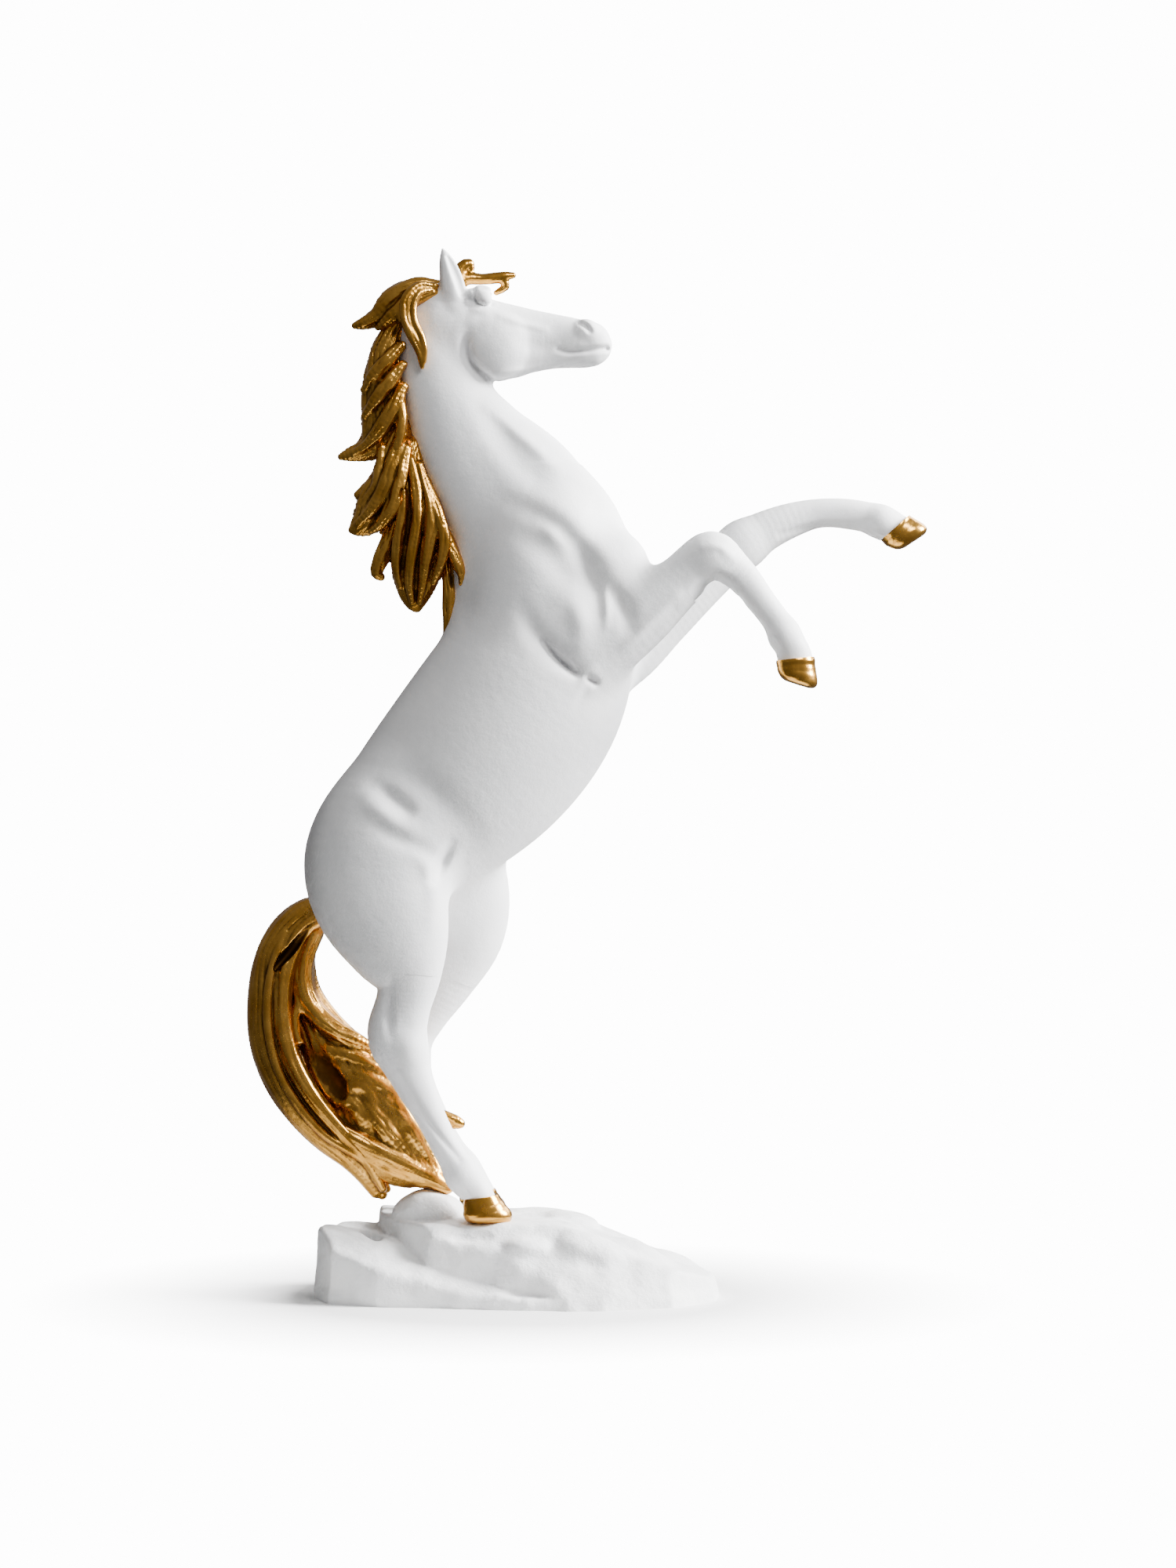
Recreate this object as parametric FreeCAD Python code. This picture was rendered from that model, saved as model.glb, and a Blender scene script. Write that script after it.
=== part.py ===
"""Rearing horse figurine on a rock base, 375 mm tall, cast in pieces and put together on steel rods and pins.

Frame: millimetres, +Z up, +X the way the horse faces, +Y its left. The origin is the middle of the underside.
The horse's right side (negative Y) is its show side. Each casting is its own solid in parts/NODE.step.

A limb is a list of stations along its centre line. A station is (x, y, z, deep, wide): deep is half the
limb's size in the side view, square to its centre line, and wide is half its size across.
"""

import FreeCAD
import Part
import math
import os

V = FreeCAD.Vector
ACROSS = V(0, 1, 0)
UP = V(0, 0, 1)
RING_POINTS = 12

# Driving dimensions
FELT_THICK = 1.2          # felt sheet glued under the base
FELT_INSET = 3.0          # felt edge in from the base's outline
HOOF_TOP = 28.0           # level of the rock where the hind hooves stand
ROD_R = 1.5               # M3 rods cast into the hind legs
ROD_FOOT = 3.2            # lowest end of a rod, inside its pocket
POCKET_R, POCKET_DEEP = 4.6, 7.0
WASHER_R, WASHER_THICK = 3.5, 0.6
NUT_ACROSS_FLATS, NUT_HIGH = 5.5, 2.4
PIN_R = 1.2               # dowel pins
FIT = 0.1                 # room all round a rod or a pin

# The body casting: trunk, neck, hips and shoulders
TRUNK = [
    (-60, 0, 139, 10, 13),
    (-52, 0, 156, 24, 23),
    (-30, 0, 177.5, 31, 27.5),
    (-12, 0, 196, 36.2, 28.5),
    (1, 0, 213.5, 36.2, 27.5),
    (10, 0, 231, 32.6, 25),
    (15, 0, 250, 30, 22),
    (12, 0, 268, 25, 17),
]
NECK = [
    (9, 0, 246, 27, 19),
    (8, 0, 264, 29.5, 18.5),
    (-0.5, 0, 285, 26.6, 15.5),
    (-13.4, 0, 304, 19.6, 12.5),
    (-23, 0, 321, 14.4, 10.5),
    (-28, 0, 336, 12.2, 9.5),
    (-29, 0, 347, 11.3, 9),
    (-28, 0, 356, 9.5, 8),
    (-26.5, 0, 362.5, 4.5, 5),
]
HIP_RIGHT = [
    (-44, -11, 180, 14, 11),
    (-49, -14, 164, 22, 14),
    (-49.5, -16, 148, 24.5, 14),
    (-43.5, -17, 131, 19.5, 13),
    (-38.8, -17, 117, 12.2, 10),
]
HIP_LEFT = [
    (-40, 11, 180, 14, 11),
    (-38, 14, 164, 24, 14),
    (-30.5, 16, 148, 26.5, 14),
    (-23, 17, 131, 18, 12),
    (-27.5, 17, 115, 13, 9.5),
]
FOREARM_RIGHT = [
    (6, -9, 228, 13, 9),
    (19, -12, 229, 16, 11),
    (31, -13.5, 235, 15.5, 10.5),
    (44, -14.5, 244, 12.2, 9.2),
    (58, -15.5, 255.5, 9.6, 7.6),
]
FOREARM_LEFT = [
    (8, 9, 226, 13, 9),
    (22, 12, 225, 15, 11),
    (37, 13.5, 232, 13, 10),
    (52, 15, 244, 10.6, 8.8),
]
SHOULDER = [
    (6, -8, 274, 10, 10),
    (14, -11, 262, 16, 11),
    (21, -12, 247, 17, 11.5),
    (24, -11, 233, 13, 10),
]

# The head casting: skull and ears
SKULL = [
    (-25, 0, 353, 7, 7.5),
    (-16, 0, 347, 12.5, 10.5),
    (-7, 0, 343.3, 14, 9.5),
    (3, 0, 343.2, 11.7, 7.6),
    (12, 0, 343.1, 10, 6.4),
    (20, 0, 342.6, 8.9, 6),
    (26, 0, 341.9, 7.8, 6.2),
    (29.5, 0, 340.5, 5, 5),
    (31, 0, 340, 2, 2.5),
]
EAR = [
    (-25, -5.5, 357, 3.5, 2.8),
    (-25.3, -6.5, 364, 3, 2.6),
    (-26, -7, 370, 2, 1.9),
    (-26.5, -7, 375.5, 0.6, 0.6),
]
EAR_LEFT_FORWARD = 5.0    # the left ear is pricked further forward
THROAT = (-9, 0, 328.5)   # the head's joint runs from the throat to the crest
HEAD_AXIS = (0.623, 0, 0.783)

# The legs, from the joint with the body to the top of the hoof
HIND_RIGHT = [
    (-41.5, -17, 104, 10.3, 7.4),
    (-42, -17, 93, 10, 6.6),
    (-37, -17, 79, 7.2, 5.8),
    (-30, -17, 64.5, 5.4, 5),
    (-23.5, -17, 52, 5.2, 4.9),
    (-18.5, -17, 43.5, 6.2, 5.6),
    (-14.5, -17, 37, 6.3, 5.8),
]
HIND_LEFT = [
    (-36, 17, 101, 10.6, 7.4),
    (-42, 17, 90, 9.6, 6.6),
    (-38.5, 17, 78, 7.2, 5.8),
    (-31.5, 17, 64.5, 5.4, 5),
    (-25, 17, 52, 5.2, 4.9),
    (-20, 17, 43.5, 6.2, 5.6),
    (-16, 17, 37, 6.3, 5.8),
]
FORE_RIGHT = [
    (69, -16, 263.5, 8.2, 7.2),
    (78.5, -16, 258.5, 6.8, 6.2),
    (87.5, -16, 248, 5.6, 5.2),
    (95.5, -16, 237.5, 5.6, 5.2),
    (99, -16, 228.5, 6.4, 5.6),
]
FORE_LEFT = [
    (68, 16, 258.5, 8.8, 7.2),
    (81, 17, 270.5, 8.4, 6.9),
    (93, 17.5, 277.5, 7, 6.2),
    (107, 18, 281.8, 5.7, 5.2),
    (121.5, 18, 281.9, 5.6, 5.2),
    (132.5, 18, 279.6, 5.6, 5.4),
    (137, 18, 277.3, 6.4, 5.6),
]

# A hoof: the way its coronet faces, its sole's middle and the way that the sole faces
HOOVES = {
    "right_hind_hoof": ((0.42, 0, -0.91), (-10.3, -17, HOOF_TOP), (0, 0, -1)),
    "left_hind_hoof": ((0.42, 0, -0.91), (-11.8, 17, HOOF_TOP), (0, 0, -1)),
    "right_fore_hoof": ((0.1, 0, -0.995), (99.6, -16, 220.3), (-0.3, 0, -0.954)),
    "left_fore_hoof": ((0.66, 0, -0.75), (143.5, 18, 272.5), (0.6, 0, -0.8)),
}
CORONET_SIZE = (6.9, 6.2)
SOLE_SIZE = {"hind": (9.2, 7.6), "fore": (7.6, 7)}

# Mane, forelock and tail castings: each a list of locks
MANE_CROWN = [[
    (-26, 0, 361, 5, 5),
    (-37, -1, 361, 5, 7),
    (-47, -1, 355, 6, 6.5),
    (-54.5, 0, 349.5, 3.6, 4),
    (-60, 0, 347.8, 0.8, 1),
]]
MANE_CURL = [[
    (-30, -7.5, 357, 2, 2.4),
    (-37, -10.5, 354, 2.6, 2.4),
    (-40, -11, 347, 2.8, 2.6),
    (-38, -10.4, 339, 2.6, 2.6),
    (-34.5, -10.4, 333, 1.7, 2),
    (-34, -10.6, 328, 0.6, 0.8),
]]
MANE_UPPER = [[
    (-40, 0, 347, 4, 5),
    (-46, 0, 338, 8, 6.5),
    (-48, 0, 324, 9.5, 7),
    (-50.5, 0, 312, 8.5, 6),
    (-57, 0, 304.5, 4.5, 4.4),
    (-63.5, 0, 301.5, 1.2, 1.4),
]]
MANE_MIDDLE = [[
    (-38, 0, 320, 6, 6),
    (-42, 0, 306, 9, 7),
    (-46.5, 0, 293, 9.5, 7),
    (-53, 0, 281.5, 7.5, 5.5),
    (-58.5, 0, 274.5, 2.2, 2.4),
]]
MANE_LOWER = [
    [
        (-33, 0, 304, 6, 6),
        (-32.5, 0, 288, 9.5, 8),
        (-33, 0, 272, 11.5, 8),
        (-35.5, 0, 259, 8, 6),
        (-36.5, 0, 248.5, 1.8, 2.2),
    ],
    [
        (-38, 0, 284, 5, 5),
        (-45.5, 0, 268, 6, 4.4),
        (-52, 0, 257.5, 1.8, 2),
    ],
]
MANE_WITHERS = [[
    (-19.5, -1, 264, 5, 5),
    (-21.5, -1, 252, 5.5, 5),
    (-24.5, -1, 239, 3.6, 3.6),
    (-27.4, -1, 228, 0.8, 0.9),
]]
FORELOCK = [[
    (-24, 3, 361.5, 3, 2.6),
    (-17, 4, 364.5, 3, 3),
    (-10, 4, 363.2, 2.2, 2.6),
    (-4, 4, 366, 1.6, 2),
    (-1.5, 4, 367.5, 0.6, 0.8),
]]
TAIL_OUTER = [[
    (-64, 0, 141, 5, 6),
    (-78, 0, 136, 6.5, 7.5),
    (-87.5, 0, 120, 8.2, 9),
    (-88.5, 0, 103, 8.6, 10),
    (-84, 0, 86, 8.6, 10),
    (-75.5, 0, 71, 8.6, 9.5),
    (-64.5, 0, 58, 8, 8.5),
    (-54.5, 0, 47, 6.4, 7),
    (-48.5, 0, 37, 4, 5),
]]
TAIL_INNER = [
    [
        (-77, 1, 124, 3.5, 5.5),
        (-73.5, 2, 109, 7, 6.5),
        (-64, 3, 96.5, 8, 6.5),
        (-53, 3, 86.5, 7.5, 5.5),
        (-44, 3, 80, 4, 4),
    ],
    [
        (-79, 2, 98, 6, 6),
        (-70, 3, 84, 11, 6),
        (-57, 3, 71, 13, 6),
        (-43, 3, 60, 9, 5.5),
        (-31, 2, 52, 3.5, 3.5),
    ],
    [
        (-74, 0, 76, 6, 6.5),
        (-62, 0, 63, 10, 6.5),
        (-47, -1, 51, 9.5, 6),
        (-33, -2, 43.5, 6, 5),
        (-23.5, -2, 39.5, 2, 3),
    ],
    [
        (-46, 3, 72, 6, 4),
        (-33, 4, 66.5, 4.5, 3.6),
        (-23.5, 4, 63.5, 3, 2.8),
        (-19, 4, 62, 0.8, 1),
    ],
]

# The rock base: the outline (x, y) at its foot, and the ground in front of its ridge, which lies lower.
# Each top is a point on it and the way that it faces; the stone above it is gone.
ROCK = [(-72, -6), (-66, -24), (-49, -33), (-26, -37), (4, -44), (31, -45), (55, -35), (70, -16), (72, 3),
        (61, 21), (37, 33), (12, 41), (-20, 39), (-48, 36), (-66, 22)]
ROCK_TOPS = [((15, 0, HOOF_TOP), (0.36, 0, 1)), ((0, -23, HOOF_TOP), (0, -1.15, 1)), ((17, -45, 6), (0.2, -1, 1))]
LOWERED = [(-80, 10), (-53, 10), (-49, -8), (-42, -19), (-31, -28), (-6, -34), (7, -39), (17, -50), (-80, -50)]
LOWER_TOPS = [((-60, 0, 24), (0.12, 0, 1)), ((-60, -14, 24), (0.12, -0.55, 1))]
MOUND_CENTRE = (-32, -1, 28)
MOUND_SIZE = (13, 11.5, 8)

# Dowel pins: middle, direction, length
NECK_PIN = ((-22, 0, 339), HEAD_AXIS, 24)
FORE_PINS = [((58, -15.5, 255.5), (0.76, 0, 0.65), 16), ((52, 15, 244), (0.75, 0, 0.66), 18)]
TAIL_PIN = ((-68, 0, 140), (0.9, 0, 0.3), 18)
MANE_PINS = [
    ((-33, 0, 358.5), (1, 0, -0.25), 12),
    ((-41, 0, 336), (1, 0, 0.1), 13),
    ((-37, 0, 306), (1, 0, 0.3), 13),
    ((-27, 0, 280), (1, 0, 0.3), 13),
]


def spline(points, closed=False):
    curve = Part.BSplineCurve()
    curve.interpolate(Points=points, PeriodicFlag=closed)
    return curve


def ellipse(centre, tangent, deep, wide):
    """A closed wire square to tangent, which lies in the side view: deep in that view, and wide across it."""
    normal = ACROSS.cross(tangent).normalize()
    side = tangent.cross(normal).normalize()
    points = []
    for k in range(RING_POINTS):
        angle = 2 * math.pi * k / RING_POINTS
        points.append(centre + normal * (deep * math.cos(angle)) + side * (wide * math.sin(angle)))
    return Part.Wire(spline(points, closed=True).toShape())


def tangents(stations):
    """The directions of a smooth centre line at its stations."""
    points = [V(*s[:3]) for s in stations]
    curve = spline(points)
    return [curve.tangent(curve.parameter(p))[0] for p in points]


def rings(stations, facing=None):
    """The wires of a limb. facing turns the last one to face that way."""
    ways = tangents(stations)
    if facing:
        ways[-1] = V(*facing).normalize()
    return [ellipse(V(x, y, z), way, deep, wide) for (x, y, z, deep, wide), way in zip(stations, ways)]


def loft(wires, ruled=False):
    return Part.makeLoft(wires, True, ruled)


def limb(stations):
    return loft(rings(stations))


def fused(solids):
    whole = solids[0]
    for solid in solids[1:]:
        whole = whole.fuse(solid)
    return whole


def cut_by(shape, tools):
    for tool in tools:
        shape = shape.cut(tool)
    return shape


def biggest(shape):
    """The largest solid of a shape that cutting may have left with slivers."""
    return max(shape.Solids, key=lambda s: s.Volume)


def mirrored(stations, dx=0.0):
    return [(x + dx, -y, z, deep, wide) for x, y, z, deep, wide in stations]


def hoof(leg, kind, facing, sole, sole_facing):
    """From the ring at the end of the leg to the sole."""
    top = ellipse(V(*leg[-1][:3]), V(*facing).normalize(), *CORONET_SIZE)
    bottom = ellipse(V(*sole), V(*sole_facing).normalize(), *SOLE_SIZE[kind])
    return loft([top, bottom], ruled=True)


def half_space(point, direction, reach=120.0):
    """A box on the side of the plane that direction points to."""
    along = V(*direction).normalize()
    box = Part.makeBox(reach, reach, reach, V(-reach / 2, -reach / 2, 0))
    box.Placement = FreeCAD.Placement(V(*point), FreeCAD.Rotation(UP, along))
    return box


def stump_and_leg(stump, leg, facing):
    """Both parts of one limb, parted square to its centre line at the stump's last station."""
    stations = stump + leg
    whole = loft(rings(stations, facing))
    beyond = half_space(stump[-1][:3], tangents(stations)[len(stump) - 1])
    return whole.cut(beyond), whole.common(beyond)


def bent_rod(points, radius, bend):
    """A round rod along straight runs that are joined by tangent arcs."""
    edges = []
    start = points[0]
    for before, corner, after in zip(points, points[1:], points[2:]):
        into = (corner - before).normalize()
        out = (after - corner).normalize()
        turn = into.getAngle(out)
        back = bend * math.tan(turn / 2)
        a = corner - into * back
        b = corner + out * back
        inward = (out - into).normalize()
        middle = corner + inward * (bend / math.cos(turn / 2) - bend)
        edges.append(Part.makeLine(start, a))
        edges.append(Part.Arc(a, middle, b).toShape())
        start = b
    edges.append(Part.makeLine(start, points[-1]))
    profile = Part.Wire(Part.makeCircle(radius, points[0], (points[1] - points[0]).normalize()))
    return Part.Wire(edges).makePipeShell([profile], True, False)


def pin(middle, direction, length, clearance=0.0):
    along = V(*direction).normalize()
    start = V(*middle) - along * (length / 2 + clearance)
    return Part.makeCylinder(PIN_R + clearance, length + 2 * clearance, start, along)


def prism(points, high, inset=0.0):
    """An upright block on an outline in the ground plane."""
    foot = Part.Face(Part.makePolygon([V(x, y, 0) for x, y in points + points[:1]]))
    if inset:
        foot = foot.makeOffset2D(-inset)
    return foot.extrude(UP * high)


def rock():
    block = cut_by(prism(ROCK, HOOF_TOP), [half_space(*top, reach=400) for top in ROCK_TOPS])
    front = prism(LOWERED, 2 * HOOF_TOP)
    block = cut_by(block, [front.common(half_space(*top, reach=400)) for top in LOWER_TOPS])
    stretch = FreeCAD.Matrix()
    stretch.scale(V(*MOUND_SIZE))
    mound = Part.makeSphere(1.0).transformGeometry(stretch)
    mound.translate(V(*MOUND_CENTRE))
    return biggest(block.fuse(mound))


def felt():
    return prism(ROCK, FELT_THICK, FELT_INSET)


def hex_nut(x, y, bottom):
    corner = NUT_ACROSS_FLATS / math.sqrt(3)
    points = [V(x + corner * math.cos(a), y + corner * math.sin(a), bottom)
              for a in (math.radians(60 * k) for k in range(7))]
    nut = Part.Face(Part.makePolygon(points)).extrude(UP * NUT_HIGH)
    return nut.cut(Part.makeCylinder(ROD_R, NUT_HIGH, V(x, y, bottom)))


def washer(x, y, bottom):
    disc = Part.makeCylinder(WASHER_R, WASHER_THICK, V(x, y, bottom))
    return disc.cut(Part.makeCylinder(ROD_R, WASHER_THICK, V(x, y, bottom)))


def hind_rod(stump, leg, clearance=0.0):
    """Up from under the base, through the hoof and cannon and past the hock into the hip."""
    hock, fetlock, knee = leg[1], leg[5], stump[-1]
    x, y = leg[-1][0] + 1, leg[-1][1]
    points = [
        V(x, y, ROD_FOOT - clearance),
        V(x, y, HOOF_TOP + 8),
        V(fetlock[0], y, fetlock[2]),
        V(hock[0] + 2, y, hock[2]),
        V(knee[0] + 1, y, knee[2] + 12 + clearance),
    ]
    return bent_rod(points, ROD_R + clearance, 4.0)


def build():
    parts = {}
    facing = {name: spec[0] for name, spec in HOOVES.items()}
    hip_right, hind_right = stump_and_leg(HIP_RIGHT, HIND_RIGHT, facing["right_hind_hoof"])
    hip_left, hind_left = stump_and_leg(HIP_LEFT, HIND_LEFT, facing["left_hind_hoof"])
    arm_right, fore_right = stump_and_leg(FOREARM_RIGHT, FORE_RIGHT, facing["right_fore_hoof"])
    arm_left, fore_left = stump_and_leg(FOREARM_LEFT, FORE_LEFT, facing["left_fore_hoof"])

    above = half_space(THROAT, HEAD_AXIS)
    neck, skull = limb(NECK), limb(SKULL)
    ears = [limb(EAR), limb(mirrored(EAR, EAR_LEFT_FORWARD))]
    head = fused([neck.common(above), skull.common(above)] + ears)
    throat = fused([neck.cut(above), skull.cut(above)])
    shoulders = [limb(SHOULDER), limb(mirrored(SHOULDER))]
    body = fused([limb(TRUNK), throat, hip_right, hip_left, arm_right, arm_left] + shoulders)
    body = biggest(cut_by(body, [fore_right, fore_left, hind_right, hind_left]))

    legs = {"right_hind": HIND_RIGHT, "left_hind": HIND_LEFT, "right_fore": FORE_RIGHT, "left_fore": FORE_LEFT}
    hooves = {}
    for name, spec in HOOVES.items():
        leg_name = name[:-5]
        hooves[name] = hoof(legs[leg_name], leg_name.split("_")[1], *spec)

    rods = {
        "right_leg_rod": (HIP_RIGHT, HIND_RIGHT),
        "left_leg_rod": (HIP_LEFT, HIND_LEFT),
    }
    bores = [hind_rod(*spec, clearance=FIT) for spec in rods.values()]
    white = {
        "body_casting": body,
        "head_casting": head,
        "right_hind_leg": hind_right,
        "left_hind_leg": hind_left,
        "right_foreleg": fore_right,
        "left_foreleg": fore_left,
    }
    horse = list(white.values())

    base = cut_by(rock(), [felt()])
    gold = {
        "mane_crown": MANE_CROWN,
        "mane_side_curl": MANE_CURL,
        "mane_upper": MANE_UPPER,
        "mane_middle": MANE_MIDDLE,
        "mane_lower": MANE_LOWER,
        "mane_withers": MANE_WITHERS,
        "forelock": FORELOCK,
        "tail_outer": TAIL_OUTER,
        "tail_inner": TAIL_INNER,
    }
    taken = horse + list(hooves.values()) + [base]
    hair = {}
    for name, locks in gold.items():
        hair[name] = biggest(cut_by(fused([limb(lock) for lock in locks]), taken))
        taken.append(hair[name])

    pins = {
        "neck_pin": [NECK_PIN],
        "foreleg_pins": FORE_PINS,
        "mane_pins": MANE_PINS,
        "tail_pin": [TAIL_PIN],
    }
    sockets = [pin(*spec, clearance=FIT) for specs in pins.values() for spec in specs]
    feet = [(leg[-1][0] + 1, leg[-1][1]) for leg in (HIND_RIGHT, HIND_LEFT)]
    nut_level = FELT_THICK + POCKET_DEEP - WASHER_THICK - NUT_HIGH
    pockets = [Part.makeCylinder(POCKET_R, POCKET_DEEP, V(x, y, FELT_THICK)) for x, y in feet]

    parts["rock_base"] = cut_by(base, bores + pockets)
    parts["base_felt"] = felt()
    for name, shape in list(white.items()) + list(hooves.items()) + list(hair.items()):
        tools = [t for t in bores + sockets if t.BoundBox.intersect(shape.BoundBox)]
        parts[name] = cut_by(shape, tools)
    for name, spec in rods.items():
        parts[name] = hind_rod(*spec)
    parts["rod_washers"] = Part.makeCompound([washer(x, y, nut_level + NUT_HIGH) for x, y in feet])
    parts["rod_nuts"] = Part.makeCompound([hex_nut(x, y, nut_level) for x, y in feet])
    for name, specs in pins.items():
        parts[name] = Part.makeCompound([pin(*spec) for spec in specs])
    return parts


def main():
    os.makedirs("parts", exist_ok=True)
    for name, shape in build().items():
        shape.exportStep("parts/" + name + ".step")
        print(name, shape.isValid(), len(shape.Solids), round(shape.Volume / 1000, 2), "cm3")


main()
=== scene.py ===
"""Rearing horse figurine: sculpts the white horse, its gold hair and hooves and the rock base
round the CAD frame.

Everything is written in millimetres in the frame's own axes, with the horse facing +X and its right
side, the show side, at negative Y. MM turns that into Blender's metres, from the frame's own height.
A surface is the zero level of a field of distances: sweeps and balls joined smoothly, and strokes
that raise or lower it. surface_net() meshes it.
"""

import math
from concurrent.futures import ThreadPoolExecutor

import bmesh
import bpy
import numpy as np
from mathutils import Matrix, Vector


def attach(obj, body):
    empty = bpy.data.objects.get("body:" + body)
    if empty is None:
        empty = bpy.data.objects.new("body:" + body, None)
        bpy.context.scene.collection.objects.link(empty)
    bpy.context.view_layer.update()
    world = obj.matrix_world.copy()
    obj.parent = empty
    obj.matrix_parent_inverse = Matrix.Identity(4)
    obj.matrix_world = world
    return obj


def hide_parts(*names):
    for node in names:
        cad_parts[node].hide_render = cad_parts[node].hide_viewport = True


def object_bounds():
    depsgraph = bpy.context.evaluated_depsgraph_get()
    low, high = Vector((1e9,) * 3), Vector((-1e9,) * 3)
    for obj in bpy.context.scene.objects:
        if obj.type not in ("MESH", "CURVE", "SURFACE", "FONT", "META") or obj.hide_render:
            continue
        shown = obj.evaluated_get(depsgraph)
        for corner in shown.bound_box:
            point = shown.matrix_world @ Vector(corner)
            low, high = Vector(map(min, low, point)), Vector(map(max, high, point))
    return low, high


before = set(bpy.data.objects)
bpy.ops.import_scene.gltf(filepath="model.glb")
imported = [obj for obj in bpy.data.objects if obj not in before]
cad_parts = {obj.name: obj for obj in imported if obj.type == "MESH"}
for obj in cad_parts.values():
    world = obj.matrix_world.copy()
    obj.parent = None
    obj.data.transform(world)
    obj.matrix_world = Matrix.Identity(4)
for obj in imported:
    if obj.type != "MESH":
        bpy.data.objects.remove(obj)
CAD_BOX = [list(corner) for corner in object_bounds()]
DESIGN_HEIGHT = 375.54                   # of the CAD design, in mm
MM = (CAD_BOX[1][2] - CAD_BOX[0][2]) / DESIGN_HEIGHT
COARSE = 1.0
EVENING = 0.6                            # how far a vertex moves to its neighbours' mean in one round
# a recess: how far round it the surface is averaged, the depth that counts as full, and its share
RECESS_SCALES = ((1.2, 0.28, 0.75), (3.6, 1.3, 0.6))
# painted shade round the hair's deep pockets: how much darker, and how far out it reaches
POCKET_SHADE, POCKET_SHADE_REACH = 0.8, 1.6            # how dark the hair is round its deep pockets, and how far out


# ---------------------------------------------------------------- fields of distance

def smooth_line(stations, step):
    """Rows of numbers along a Catmull-Rom curve through the stations, about step mm apart."""
    s = np.asarray(stations, float)
    gaps = np.linalg.norm(np.diff(s[:, :3], axis=0), axis=1)
    knots = np.concatenate([[0], np.cumsum(np.sqrt(np.maximum(gaps, 1e-6)))])
    slopes = np.gradient(s, knots, axis=0)
    rows = []
    for i, gap in enumerate(gaps):
        n = max(2, int(math.ceil(gap / step)))
        h = knots[i + 1] - knots[i]
        t = (np.arange(n) / n)[:, None]
        rows.append((2 * t**3 - 3 * t**2 + 1) * s[i] + (t**3 - 2 * t**2 + t) * h * slopes[i]
                    + (3 * t**2 - 2 * t**3) * s[i + 1] + (t**3 - t**2) * h * slopes[i + 1])
    rows.append(s[-1:])
    line = np.vstack(rows)
    line[:, 3:] = np.maximum(line[:, 3:], s[:, 3:].min(0) * 0.8)
    return line


def rounded(a, b, ra, rb, power):
    """Distance to a rounded section with half sizes ra and rb, where a and b are offsets along them."""
    u, v = a / ra, b / rb
    if power == 2:
        k = np.sqrt(u * u + v * v)
        grad = np.sqrt((u / ra) ** 2 + (v / rb) ** 2)
        return k * (k - 1) / np.maximum(grad, 1e-6)
    u, v = np.maximum(u, 1e-9), np.maximum(v, 1e-9)
    k = (u**power + v**power) ** (1 / power)
    grad = np.sqrt((u ** (power - 1) / ra) ** 2 + (v ** (power - 1) / rb) ** 2) * k ** (1 - power)
    return (k - 1) / np.maximum(grad, 1e-6)


def within_reach(p, a, d, thick, thin):
    """Which segments, from a along d, may be the nearest to one of the points p, which lie close together."""
    low, high = p.min(0), p.max(0)
    centre, reach = (low + high) / 2, np.linalg.norm(high - low) / 2
    rel = centre - a
    t = np.clip((rel * d).sum(1) / np.maximum((d * d).sum(1), 1e-9), 0, 1)
    off = np.linalg.norm(rel - t[:, None] * d, axis=1)
    return np.flatnonzero(off - thick - reach <= (off - thin + reach).min() + 0.5)


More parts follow.
